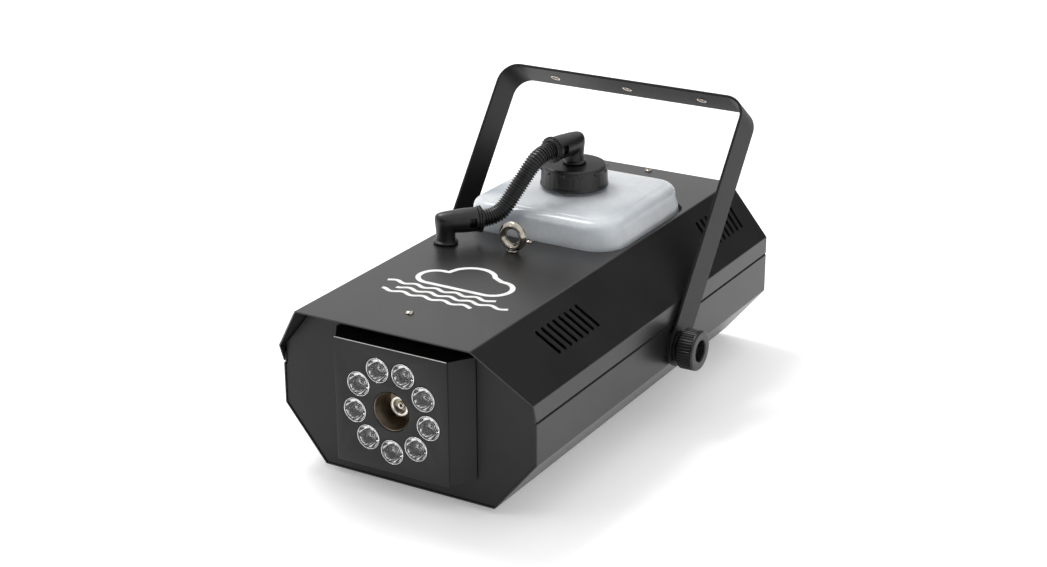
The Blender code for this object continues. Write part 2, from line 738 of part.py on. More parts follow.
def fluid_tank():
    outer = rounded_prism("fluid_tank", TANK_HALF, TANK_FRONT, TANK_BACK, TANK_FLOOR, TANK_TOP, TANK_CORNER)
    tank = part("fluid_tank", round_rims(outer, 0.0160, 0.0080), "milky_hdpe")
    spot = at(0, CAP_Y, 0)
    neck_top = Vector((0, 0, CAP_HIGH - 0.0024 - GAP))
    neck = rod_mesh("neck", NECK_RADIUS, spot + Vector((0, 0, TANK_TOP - 0.004)), spot + neck_top, 28)
    join(tank, tool("neck", neck))
    inner = rounded_prism(
        "tank_hollow", TANK_HALF - TANK_WALL, TANK_FRONT + TANK_WALL, TANK_BACK - TANK_WALL,
        TANK_FLOOR + TANK_WALL, TANK_TOP - TANK_WALL, TANK_CORNER - TANK_WALL, 4,
    )
    cut(tank, tool("tank_hollow", round_rims(inner, 0.0140, 0.0060, 3, 1)))
    bore = rod_mesh(
        "neck_bore", NECK_RADIUS - 0.0025, spot + Vector((0, 0, 0.150)), spot + Vector((0, 0, 0.22)), 28,
    )
    cut(tank, tool("neck_bore", bore))
    set_origin(tank, at(0, (TANK_FRONT + TANK_BACK) / 2, TANK_FLOOR))


def tank_cap():
    inner = NECK_RADIUS + 0.0012
    height = CAP_HIGH - CAP_LOW
    profile = [
        (STEM_RADIUS + GAP, height), (CAP_RADIUS - 0.0016, height), (CAP_RADIUS, height - 0.0016),
        (CAP_RADIUS, 0.0), (inner, 0.0), (inner, height - 0.0024), (STEM_RADIUS + GAP, height - 0.0024),
    ]
    turned("tank_cap", profile, "black_moulding", at(0, CAP_Y, CAP_LOW), (0, 0, 1), 32)


def pickup_tube():
    high = CAP_HIGH - 0.0090 - GAP
    profile = [(0.0040, high), (0.0040, 0.0680), (0.0030, 0.0680), (0.0030, high)]
    turned("pickup_tube", profile, "clear_hose", at(0, CAP_Y, 0), (0, 0, 1), 10)


def elbow(name, point, turn, spigot):
    """A conduit elbow: a spigot and collar below, a rising stem, and a level socket with a side window."""
    middle = Vector((0.0, 0.0, 0.0))
    ahead = Vector((1.0, 0.0, 0.0))
    level = Vector((0.0, 0.0, ELBOW_RISE))
    stem = turned(
        name,
        [
            (0.0, ELBOW_RISE), (STEM_RADIUS, ELBOW_RISE), (STEM_RADIUS, 0.0032),
            (0.0108, 0.0030), (0.0108, GAP), (STEM_RADIUS - 0.0003, GAP), (STEM_RADIUS - 0.0003, -spigot),
            (0.0, -spigot),
        ],
        "black_moulding", middle, (0, 0, 1), 20,
    )
    stem = baked(stem)
    barrel = turned(
        name + "_barrel",
        [
            (0.0, SOCKET_LENGTH), (
                SOCKET_RADIUS, SOCKET_LENGTH,
            ), (SOCKET_RADIUS, -0.0030), (0.0098, -0.0062),
            (0.0070, -0.0083), (0.0, -0.0088),
        ],
        "black_moulding", level, ahead, 20,
    )
    barrel = as_tool(baked(barrel))
    mouth = tool(name + "_mouth", rod_mesh(
        name + "_mouth", BORE_RADIUS, level + ahead * (SOCKET_LENGTH - 0.016), level + ahead * 0.05, 20
    ))
    edge = SOCKET_LENGTH - 0.0075
    window = tool(name + "_window", box_mesh(
        name + "_window", level + Vector((edge - 0.0035, -0.020, -0.0042)),
        level + Vector((edge + 0.0035, -0.0060, 0.0042)),
    ))
    join(stem, barrel)
    cut(stem, mouth, window)
    stem = baked(stem)
    place = Matrix.Translation(point) @ Matrix.Rotation(turn, 4, "Z")
    stem.data.transform(place)
    for shape in (barrel, mouth, window):
        bpy.data.objects.remove(shape)
    way = Vector((math.cos(turn), math.sin(turn), 0.0))
    return Vector(point) + level + way * SOCKET_LENGTH, way


def locking_ring(name, point, way):
    """The ribbed ring that holds the hose in a socket. Returns the middle of its outer face."""
    profile = [
        (0.0122, RING_LENGTH), (0.0122, 0.0), (BORE_RADIUS, 0.0), (BORE_RADIUS, RING_LENGTH),
    ]
    turned(name, profile, "black_moulding", point + way * GAP, way, 24)
    return point + way * (GAP + RING_LENGTH)


def hose_and_elbows():
    house_end, house_way = elbow("housing_elbow", at(ELBOW_X, ELBOW_Y, TOP_Z), ELBOW_TURN, 0.0190)
    cap_end, cap_way = elbow("cap_elbow", at(0, CAP_Y, CAP_HIGH), CAP_ELBOW_TURN, 0.0090)
    start = locking_ring("hose_ring_housing", house_end, house_way)
    end = locking_ring("hose_ring_cap", cap_end, cap_way)
    # Where the hose rises between its two rings: points chosen on its S-shaped sweep.
    rise = [
        at(-0.0325, 0.1962, 0.1757), at(-0.0268, 0.2043, 0.1817), at(-0.0199, 0.2179, 0.1992),
        at(-0.0131, 0.2316, 0.2167), at(-0.0098, 0.2409, 0.2227),
    ]
    route = [house_end - house_way * HOSE_IN_SOCKET, house_end, start]
    route += rise
    route += [end, cap_end, cap_end - cap_way * HOSE_IN_SOCKET]
    tube("feed_hose", smooth_route(route, 34), HOSE_RADIUS, "black_conduit", 3)


# ---- yoke, knobs and fittings ----

def yoke_point(path, across):
    """A point of the yoke's inner face: how far along its path from the middle of the bar, and across it."""
    bend = YOKE_CORNER * math.pi / 2
    flat = YOKE_INNER - YOKE_CORNER
    rise = YOKE_REACH - YOKE_CORNER
    side = math.copysign(1.0, path)
    run = abs(path)
    if run <= flat:
        x, s = run, YOKE_REACH
    elif run <= flat + bend:
        angle = (run - flat) / YOKE_CORNER
        x, s = flat + YOKE_CORNER * math.sin(angle), rise + YOKE_CORNER * math.cos(angle)
    else:
        x, s = YOKE_INNER, rise - (run - flat - bend)
    arm = Vector((0, math.sin(YOKE_LEAN), math.cos(YOKE_LEAN)))
    width = Vector((0, math.cos(YOKE_LEAN), -math.sin(YOKE_LEAN)))
    return at(side * x, PIVOT_Y, PIVOT_Z) + arm * s + width * across


def yoke():
    bend = YOKE_CORNER * math.pi / 2
    flat = YOKE_INNER - YOKE_CORNER
    half_path = flat + bend + YOKE_REACH - YOKE_CORNER
    stations = [flat + bend * i / 5 for i in range(6)] + [half_path]
    stations = [-s for s in reversed(stations)] + stations
    half = YOKE_WIDTH / 2
    lanes = [half * math.sin(math.pi * (j / 8 - 0.5)) for j in range(9)]
    bm = bmesh.new()
    bmesh.ops.create_grid(bm, x_segments=len(stations) - 1, y_segments=len(lanes) - 1, size=1.0)
    verts = sorted(bm.verts, key=lambda v: (round(v.co.x, 5), round(v.co.y, 5)))
    for i, vert in enumerate(verts):
        station = stations[i // len(lanes)]
        across = lanes[i % len(lanes)]
        if abs(station) == half_path:
            station += math.copysign(math.sqrt(max(0.0, half * half - across * across)), station)
        vert.co = yoke_point(station, across)
    bm.normal_update()
    bar = next(f for f in bm.faces if abs(f.calc_center_median().x) < 0.01)
    if bar.normal.z < 0:
        bmesh.ops.reverse_faces(bm, faces=bm.faces[:])
    strap = part("yoke", mesh_of("yoke", bm), "black_powder_coat")
    wall = strap.modifiers.new("wall", "SOLIDIFY")
    wall.thickness = YOKE_THICK
    wall.offset = 1.0
    wall.use_even_offset = True
    reach = Vector((0.02, 0, 0))
    for side in (-1, 1):
        eye = at(side * YOKE_INNER, PIVOT_Y, PIVOT_Z)
        cut(strap, tool("yoke_eye", rod_mesh("yoke_eye", STUD_RADIUS + GAP, eye - reach, eye + reach)))
    arm = Vector((0, math.sin(YOKE_LEAN), math.cos(YOKE_LEAN)))
    for step in (-1, 0, 1):
        spot = at(step * YOKE_HOLE_PITCH, PIVOT_Y, PIVOT_Z) + arm * YOKE_REACH
        hole = rod_mesh("hanging_hole", BOLT_HOLE_RADIUS, spot - arm * 0.01, spot + arm * 0.01)
        cut(strap, tool("hanging_hole", hole))
    set_origin(strap, at(0, PIVOT_Y, PIVOT_Z))


def pivot_hardware(side, hand):
    """The knob with its stud, the steel washer and the rubber disc of one pivot."""
    axis = (side, 0, 0)
    centre = at(0, PIVOT_Y, PIVOT_Z)
    face = YOKE_INNER + YOKE_THICK
    turned(
        f"knob_{hand}",
        [
            (0.0, KNOB_FACE - 0.0080), (0.0098, KNOB_FACE - 0.0080), (0.0098, KNOB_FACE - 0.0005),
            (0.0104, KNOB_FACE), (KNOB_RADIUS - 0.0010, KNOB_FACE), (KNOB_RADIUS, KNOB_FACE - 0.0010),
            (KNOB_RADIUS, 0.1360), (KNOB_RADIUS - 0.0012, 0.1350), (0.0125, 0.1350),
            (0.0125, face + 0.0026), (STUD_RADIUS, face + 0.0026), (STUD_RADIUS, 0.1120), (0.0, 0.1120),
        ],
        "black_moulding", centre, axis, 28,
    )
    turned(
        f"knob_washer_{hand}",
        [
            (0.0140, face + 0.0023), (0.0140, face + GAP), (STUD_RADIUS + GAP, face + GAP),
            (STUD_RADIUS + GAP, face + 0.0023),
        ],
        "zinc_steel", centre, axis, 18,
    )
    low, high = HALF_WIDTH + GAP, YOKE_INNER - GAP
    turned(
        f"friction_disc_{hand}",
        [(0.0160, high), (0.0160, low), (STUD_RADIUS + GAP, low), (STUD_RADIUS + GAP, high)],
        "black_rubber", centre, axis, 18,
    )


def eye_bolt():
    rise = TOP_Z + EYE_RING_RISE
    bolt = turned(
        "eye_bolt",
        [
            (0.0, TOP_Z + 0.0060), (
                0.0034, TOP_Z + 0.0050,
            ), (0.0042, TOP_Z + 0.0022), (0.0062, TOP_Z + 0.0016),
            (0.0062, TOP_Z + GAP), (0.0030, TOP_Z + GAP), (0.0030, TOP_Z - 0.0140), (0.0, TOP_Z - 0.0140),
        ],
        "nickel", at(0, EYE_Y, 0), (0, 0, 1), 16,
    )
    bolt = baked(bolt)
    bpy.ops.mesh.primitive_torus_add(
        major_radius=0.0104, minor_radius=0.0026, major_segments=28, minor_segments=8,
        location=at(0, EYE_Y, rise), rotation=(math.pi / 2, 0, 0),
    )
    ring = bpy.context.object
    ring.name = "eye_ring"
    for home in list(ring.users_collection):
        home.objects.unlink(ring)
    CUTTERS.objects.link(ring)
    ring.hide_render = True
    ring.display_type = "WIRE"
    join(bolt, ring)


def cover_screws():
    profile = [
        (0.0, 0.0022), (0.0020, 0.0020), (0.0034, 0.0011), (0.0036, GAP), (0.00175, GAP), (
            0.00175, -0.0090,
        ), (0.0, -0.0090)
    ]
    for name, y in SCREW_YS.items():
        turned(f"cover_screw_{name}", profile, "nickel", at(0, y, TOP_Z), (0, 0, 1), 14)


def feet():
    up = FOOT_HEIGHT + SHEET + GAP
    profile = [
        (0.0, up + 0.0026), (0.0022, up + 0.0026), (0.0034, up), (0.0025, up), (0.0025, FOOT_HEIGHT - GAP),
        (0.0095, FOOT_HEIGHT - GAP), (0.0100, 0.0045), (0.0100, 0.0), (0.0, 0.0),
    ]
    number = 1
    for x in FOOT_XS:
        for y in FOOT_YS:
            spot = at(x, y, 0)
            turned(f"foot_{number}", profile, "black_rubber", Vector((spot.x, spot.y, 0)), (0, 0, 1), 16)
            number += 1


# ---- rear panel and its fittings ----

POWER_X = 0.0620
POWER_Z = 0.0700
DMX_SPOTS = {"dmx_in": -0.0620, "dmx_out": -0.0220}
DMX_Z = 0.0440
DISPLAY_X = -0.0420
DISPLAY_Z = 0.1180
BUTTON_XS = (-0.0660, -0.0500, -0.0340, -0.0180)
BUTTON_Z = 0.0900
POWER_BODY = (0.0130, 0.0300)
ROCKER_RISE = 0.0190
ROCKER_TILT = math.radians(10.0)


def rect(u, v, half_u, half_v):
    return [
        (u - half_u, v - half_v), (u + half_u, v - half_v), (u + half_u, v + half_v),
        (u - half_u, v + half_v),
    ]


def rear_panel():
    holes = [
        rect(POWER_X, POWER_Z, POWER_BODY[0] + GAP, POWER_BODY[1] + GAP),
        rect(DISPLAY_X, DISPLAY_Z, 0.0263, 0.0103),
    ]
    holes += [circle(0.0122, x, DMX_Z, 20) for x in DMX_SPOTS.values()]
    holes += [circle(0.0048, x, BUTTON_Z, 12) for x in BUTTON_XS]
    panel = end_panel("rear_panel", REAR_FACE, -1, holes)
    y = SCREW_YS["rear"]
    return cut(
        panel,
        tool("rear_screw_hole", rod_mesh("rear_screw_hole", 0.0019, at(0, y, 0.14), at(0, y, 0.16), 12)),
    )


def power_inlet():
    """The inlet, fuse and switch module: one moulding with three wells and three contact blades."""
    half_u, half_v = POWER_BODY
    back = REAR_FACE - 0.0280
    module = part(
        "power_inlet",
        box_mesh(
            "power_inlet", at(POWER_X - half_u, back, POWER_Z - half_v),
            at(POWER_X + half_u, REAR_FACE + 0.0008, POWER_Z + half_v),
        ),
        "black_moulding",
    )
    flange = box_mesh(
        "power_flange", at(POWER_X - half_u - 0.0025, REAR_FACE + GAP, POWER_Z - half_v - 0.0025),
        at(POWER_X + half_u + 0.0025, REAR_FACE + 0.0020, POWER_Z + half_v + 0.0025),
    )
    join(module, tool("power_flange", flange))
    wells = [
        ("inlet_well", 0.0118, 0.0082, -0.0160, 0.0180), ("fuse_well", 0.0112, 0.0046, 0.0015, 0.0200),
        ("rocker_well", 0.0105, 0.0072, ROCKER_RISE, 0.0160),
    ]
    for name, wide, tall, rise, deep in wells:
        well = box_mesh(
            name, at(POWER_X - wide, REAR_FACE - deep, POWER_Z + rise - tall),
            at(POWER_X + wide, REAR_FACE + 0.01, POWER_Z + rise + tall),
        )
        cut(module, tool(name, well))
    for x, z in ((-0.0070, -0.0180), (0.0070, -0.0180), (0.0, -0.0130)):
        blade = box_mesh(
            "blade", at(POWER_X + x - 0.0010, REAR_FACE - 0.0190, POWER_Z + z - 0.0020),
            at(POWER_X + x + 0.0010, REAR_FACE - 0.0055, POWER_Z + z + 0.0020),
        )
        join(module, tool("blade", blade))


def fuse_drawer():
    drawer = part(
        "fuse_drawer",
        box_mesh(
            "fuse_drawer", at(POWER_X - 0.0109, REAR_FACE - 0.0190, POWER_Z - 0.0028),
            at(POWER_X + 0.0109, REAR_FACE + 0.0022, POWER_Z + 0.0058), 0.0004, 1,
        ),
        "black_moulding",
    )
    notch = box_mesh(
        "drawer_notch", at(POWER_X - 0.0040, REAR_FACE + 0.0014, POWER_Z + 0.0020),
        at(POWER_X + 0.0040, REAR_FACE + 0.0040, POWER_Z + 0.0070),
    )
    cut(drawer, tool("drawer_notch", notch))


def power_rocker():
    axis = at(POWER_X, REAR_FACE - 0.0053, POWER_Z + ROCKER_RISE)
    half = 0.0052
    outline = [
        (-0.0035, -half + 0.0016), (0.0048, -half), (0.0062, -half + 0.0004), (0.0047, 0.0),
        (0.0062, half - 0.0004), (0.0048, half), (-0.0035, half - 0.0016),
    ]
    bm = bmesh.new()
    turn = Matrix.Rotation(ROCKER_TILT, 4, "X")
    side = [bm.verts.new(Vector((-0.0098, y, z))) for y, z in outline]
    face = bm.faces.new(side)
    grown = bmesh.ops.extrude_face_region(bm, geom=[face])["geom"]
    bmesh.ops.translate(
        bm, verts=[v for v in grown if isinstance(v, bmesh.types.BMVert)], vec=(0.0196, 0, 0),
    )
    bmesh.ops.transform(bm, matrix=turn, verts=bm.verts[:])
    bmesh.ops.recalc_face_normals(bm, faces=bm.faces[:])
    rocker = part("power_rocker", mesh_of("power_rocker", bm), "red_rocker")
    rocker.location = axis


def dmx_sockets():
    for name, x in DMX_SPOTS.items():
        back = REAR_FACE - 0.0220
        socket = part(
            name, rod_mesh(name, 0.0118, at(x, back, DMX_Z), at(x, REAR_FACE + 0.0010, DMX_Z), 24),
            "black_moulding",
        )
        flange = box_mesh(
            name + "_flange", at(x - 0.0130, REAR_FACE + GAP, DMX_Z - 0.0155),
            at(x + 0.0130, REAR_FACE + 0.0020, DMX_Z + 0.0155),
        )
        join(socket, tool(name + "_flange", flange))
        if name == "dmx_in":
            well = rod_mesh(
                "dmx_well", 0.0096, at(x, REAR_FACE - 0.0140, DMX_Z), at(x, REAR_FACE + 0.01, DMX_Z), 24,
            )
            cut(socket, tool("dmx_well", well))
        for i in range(3):
            angle = math.radians(-90 + 90 * i)
            u, v = 0.0045 * math.sin(angle), 0.0045 * math.cos(angle)
            if name == "dmx_in":
                pin = rod_mesh(
                    "dmx_pin", 0.0012, at(x + u, REAR_FACE - 0.0150, DMX_Z + v),
                    at(x + u, REAR_FACE - 0.0055, DMX_Z + v), 8,
                )
                join(socket, tool("dmx_pin", pin))
            else:
                hole = rod_mesh(
                    "dmx_hole", 0.0014, at(x + u, REAR_FACE - 0.0120, DMX_Z + v),
                    at(x + u, REAR_FACE + 0.01, DMX_Z + v), 8,
                )
                cut(socket, tool("dmx_hole", hole))


def display_module():
    body = part(
        "display_module",
        box_mesh(
            "display_module", at(DISPLAY_X - 0.0260, REAR_FACE - 0.0110, DISPLAY_Z - 0.0100),
            at(DISPLAY_X + 0.0260, REAR_FACE + 0.0008, DISPLAY_Z + 0.0100),
        ),
        "dark_display",
    )
    bezel = box_mesh(
        "display_bezel", at(DISPLAY_X - 0.0285, REAR_FACE + GAP, DISPLAY_Z - 0.0125),
        at(DISPLAY_X + 0.0285, REAR_FACE + 0.0016, DISPLAY_Z + 0.0125),
    )
    join(body, tool("display_bezel", bezel))
    pane = box_mesh(
        "display_pane", at(DISPLAY_X - 0.0230, REAR_FACE + 0.0004, DISPLAY_Z - 0.0075),
        at(DISPLAY_X + 0.0230, REAR_FACE + 0.0100, DISPLAY_Z + 0.0075),
    )
    cut(body, tool("display_pane", pane))


def menu_buttons():
    profile = [
        (0.0, 0.0022), (0.0036, 0.0021), (0.0043, 0.0014), (0.0043, -0.0032), (0.0056, -0.0034),
        (0.0056, -0.0046), (0.0020, -0.0048), (0.0020, -0.0090), (0.0, -0.0090),
    ]
    for number, x in enumerate(BUTTON_XS, 1):
        turned(f"menu_button_{number}", profile, "black_rubber", at(x, REAR_FACE, BUTTON_Z), (0, 1, 0), 12)


def build():
    base_tray()
    top_cover()
    front_panel()
    rear_panel()
    head_box()
    lens_plate()
    led_lenses()
    led_board()
    nozzle_cup()
    nozzle()
    heater_block()
    heater_bracket()
    thermostat()
    pump()
    inner_tubes()
    control_board()
    power_supply()
    tank_bay()
    fluid_tank()
    tank_cap()
    pickup_tube()
    hose_and_elbows()
    yoke()
    for side, hand in ((1, "right"), (-1, "left")):
        pivot_hardware(side, hand)
    eye_bolt()
    cover_screws()
    feet()
    power_inlet()
    fuse_drawer()
    power_rocker()
    dmx_sockets()
    display_module()
    menu_buttons()


for old in list(bpy.data.objects):
    bpy.data.objects.remove(old)
PARTS = bpy.data.collections.new("fog_machine")
CUTTERS = bpy.data.collections.new("cutters")
bpy.context.scene.collection.children.link(PARTS)
bpy.context.scene.collection.children.link(CUTTERS)
build()
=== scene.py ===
"""Looks of a stage fog machine: folded steel housing, LED ring, milky tank, hose, eye bolt and yoke.

Pieces are surfaces over two parameters, worked out as whole numpy arrays. place(x, y, z) is a point
measured from the tray's front edge (y) and its underside (z), on the middle plane (x).
"""

import math

import bmesh
import bpy
import numpy as np
from mathutils import Matrix, Vector


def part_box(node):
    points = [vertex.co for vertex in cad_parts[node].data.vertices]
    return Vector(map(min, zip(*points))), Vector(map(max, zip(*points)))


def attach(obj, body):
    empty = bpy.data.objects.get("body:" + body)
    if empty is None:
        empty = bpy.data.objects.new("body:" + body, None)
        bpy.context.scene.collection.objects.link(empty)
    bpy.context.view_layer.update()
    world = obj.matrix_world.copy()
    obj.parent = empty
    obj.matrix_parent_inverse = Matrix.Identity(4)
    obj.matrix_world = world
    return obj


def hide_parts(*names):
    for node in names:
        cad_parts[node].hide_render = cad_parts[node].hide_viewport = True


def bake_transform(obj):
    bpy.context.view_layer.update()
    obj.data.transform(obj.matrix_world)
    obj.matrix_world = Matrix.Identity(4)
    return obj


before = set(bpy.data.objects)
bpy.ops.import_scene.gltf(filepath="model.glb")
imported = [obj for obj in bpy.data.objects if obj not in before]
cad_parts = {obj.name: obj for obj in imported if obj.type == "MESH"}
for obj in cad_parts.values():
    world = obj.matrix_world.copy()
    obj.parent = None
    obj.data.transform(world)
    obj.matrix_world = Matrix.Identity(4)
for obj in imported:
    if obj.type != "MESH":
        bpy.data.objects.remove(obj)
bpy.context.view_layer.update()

TRAY_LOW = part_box("base_tray")[0]
TOP_Z = 0.1540
PLATE_Y = -0.0227
RING_Z = 0.0775
RING_RADIUS = 0.0366
TANK_FRONT = 0.2090
TANK_BACK = 0.3655
CAP_Y = 0.2850
CAP_LOW = 0.1850
CAP_HIGH = 0.2052
ELBOW_RISE = 0.0196
SOCKET_LENGTH = 0.0290
SOCKET_RADIUS = 0.0110
STEM_RADIUS = 0.0087
HOUSING_ELBOW = (-0.0635, 0.1634, TOP_Z, math.radians(46.0))
CAP_ELBOW = (0.0, CAP_Y, CAP_HIGH, math.radians(258.0))
HOSE_RADIUS = 0.0080
HOSE_IN_SOCKET = 0.0100
RING_LENGTH = 0.0045
PIVOT_Y = 0.2456
PIVOT_Z = 0.0641
YOKE_LEAN = math.radians(37.5)
YOKE_HOLE_STEP = 0.0782
KNURLS = 44
EYE_Y = 0.1735
SCREW_PLACES = (("front", 0.0080), ("middle", 0.2020), ("rear", 0.4360))
GAP = 0.0003
TAU = 2.0 * math.pi


def place(x, y, z):
    """A point in the row frame from its place on the housing."""
    return np.array([x, TRAY_LOW[1] + y, TRAY_LOW[2] + z])


# ---- camera, floor and lights ----

def aim_camera():
    """The view from the front right, above the housing."""
    azimuth, elevation, roll = math.radians(30.45), math.radians(21.38), math.radians(-0.22)
    back = Vector((
        math.sin(azimuth) * math.cos(
            elevation
        ), -math.cos(azimuth) * math.cos(elevation), math.sin(elevation)
    ))
    right = Vector((0.0, 0.0, 1.0)).cross(back).normalized()
    up = back.cross(right)
    across = right * math.cos(roll) + up * math.sin(roll)
    upright = up * math.cos(roll) - right * math.sin(roll)
    lens = bpy.data.cameras.new("camera")
    lens.lens = 69.63
    lens.sensor_width = 36.0
    lens.clip_start = 0.05
    lens.clip_end = 50.0
    camera = bpy.data.objects.new("camera", lens)
    bpy.context.scene.collection.objects.link(camera)
    turn = Matrix((across, upright, back)).transposed().to_4x4()
    camera.matrix_world = Matrix.Translation(place(0.8567, -1.2653, 0.7794)) @ turn
    bpy.context.scene.camera = camera


def lamp(name, where, toward, size, power):
    """A square soft box."""
    light = bpy.data.lights.new(name, "AREA")
    light.shape = "SQUARE"
    light.size = size
    light.energy = power
    box = bpy.data.objects.new(name, light)
    bpy.context.scene.collection.objects.link(box)
    aim = Vector(where) - Vector(toward)
    box.matrix_world = Matrix.Translation(where) @ aim.to_track_quat("Z", "Y").to_matrix().to_4x4()


def plain_tones():
    """Shows linear light with plain tones, so a white floor comes out white."""
    bpy.context.scene.view_settings.view_transform = "Standard"


def flag(name, start, end, low, high):
    """A black card standing from start to end, for the satin coat to mirror. It shows in reflections only."""
    mesh = bpy.data.meshes.new(name)
    mesh.from_pydata([(*start, low), (*end, low), (*end, high), (*start, high)], [], [(0, 1, 2, 3)])
    card = bpy.data.objects.new(name, mesh)
    bpy.context.scene.collection.objects.link(card)
    mesh.materials.append(FINISH["rubber"])
    card.visible_camera = False


def studio():
    """A white floor and surround, two soft boxes (overhead and front left), and two black cards."""
    world = bpy.data.worlds.new("white_surround")
    world.use_nodes = True
    world.node_tree.nodes["Background"].inputs["Color"].default_value = (1.0, 1.0, 1.0, 1.0)
    world.node_tree.nodes["Background"].inputs["Strength"].default_value = 1.0
    bpy.context.scene.world = world
    mesh = bpy.data.meshes.new("floor")
    half = 12.0
    mesh.from_pydata(
        [(-half, -half, 0), (half, -half, 0), (half, half, 0), (-half, half, 0)], [], [(0, 1, 2, 3)],
    )
    floor = bpy.data.objects.new("floor", mesh)
    bpy.context.scene.collection.objects.link(floor)
    mesh.materials.append(matt_paper())
    flag("flag_behind", (0.3, 2.7), (2.6, 1.1), 0.12, 1.7)
    flag("flag_in_front", (-3.2, -2.6), (3.2, -3.2), 0.35, 2.8)
    lamp("overhead", (-0.94, 0.26, 1.94), (0.0, 0.0, 0.1), 0.7, 20.0)
    lamp("front_left", (-1.15, -1.75, 1.25), (0.0, -0.1, 0.1), 0.35, 3.0)


# ---- materials ----

def linear(hexa):
    """Linear colour from sRGB hex."""
    parts = [int(hexa[i:i + 2], 16) / 255.0 for i in (1, 3, 5)]
    return (*[p / 12.92 if p <= 0.04045 else ((p + 0.055) / 1.055) ** 2.4 for p in parts], 1.0)


def add(tree, kind, inputs=None, **settings):
    """One node with its settings, and its sockets set or linked."""
    node = tree.nodes.new("ShaderNode" + kind)
    for key, value in settings.items():
        setattr(node, key, value)
    for key, value in (inputs or {}).items():
        if isinstance(value, bpy.types.NodeSocket):
            tree.links.new(value, node.inputs[key])
        else:
            node.inputs[key].default_value = value
    return node


def per_mm(size):
    """Noise scale for a grain of that many millimetres on Object coordinates."""
    return 1000.0 / size


def new_material(name, **sockets):
    """A Principled material with plain socket values, its tree and its shader."""
    made = bpy.data.materials.new(name)
    made.use_nodes = True
    shader = made.node_tree.nodes["Principled BSDF"]
    for key, value in sockets.items():
        shader.inputs[key.replace("_", " ")].default_value = value
    return made, made.node_tree, shader


def textured(name, dark, light, rough, grain, height, metallic=0.0, drift=60.0, **sockets):
    """A surface whose colour drifts between two tones, with a fine grain in its height and gloss.

    grain and drift are in millimetres, and height is the depth of the grain in metres.
    """
    made, tree, shader = new_material(name, Metallic=metallic, **sockets)
    where = add(tree, "TexCoord").outputs["Object"]
    slow = add(tree, "TexNoise", {"Vector": where, "Scale": per_mm(drift), "Detail": 3.0})
    fine = add(tree, "TexNoise", {"Vector": where, "Scale": per_mm(grain), "Detail": 2.0, "Roughness": 0.6})
    share = add(tree, "MapRange", {0: slow.outputs[0], 1: 0.35, 2: 0.65})
    speck = add(tree, "MapRange", {0: fine.outputs[0], 1: 0.3, 2: 0.7, 3: 0.0, 4: 0.35})
    both = add(tree, "Math", {0: share.outputs[0], 1: speck.outputs[0]}, operation="ADD", use_clamp=True)
    mixed = add(tree, "Mix", {0: both.outputs[0], 6: linear(dark), 7: linear(light)}, data_type="RGBA")
    tree.links.new(mixed.outputs[2], shader.inputs["Base Color"])
    gloss = add(tree, "MapRange", {0: fine.outputs[0], 1: 0.3, 2: 0.7, 3: rough[0], 4: rough[1]})
    tree.links.new(gloss.outputs[0], shader.inputs["Roughness"])
    bump = add(tree, "Bump", {"Height": fine.outputs[0], "Strength": 1.0, "Distance": height})
    tree.links.new(bump.outputs[0], shader.inputs["Normal"])
    return made


def matt_paper():
    """Backdrop paper: white and fully matt, with a faint glow of its own that keeps its shaded part pale."""
    return textured(
        "backdrop_paper", "#f4f4f4", "#f8f8f8", (0.9, 1.0), 3.0, 0.0, Emission_Color=linear("#ffffff"),
        Emission_Strength=0.3,
    )


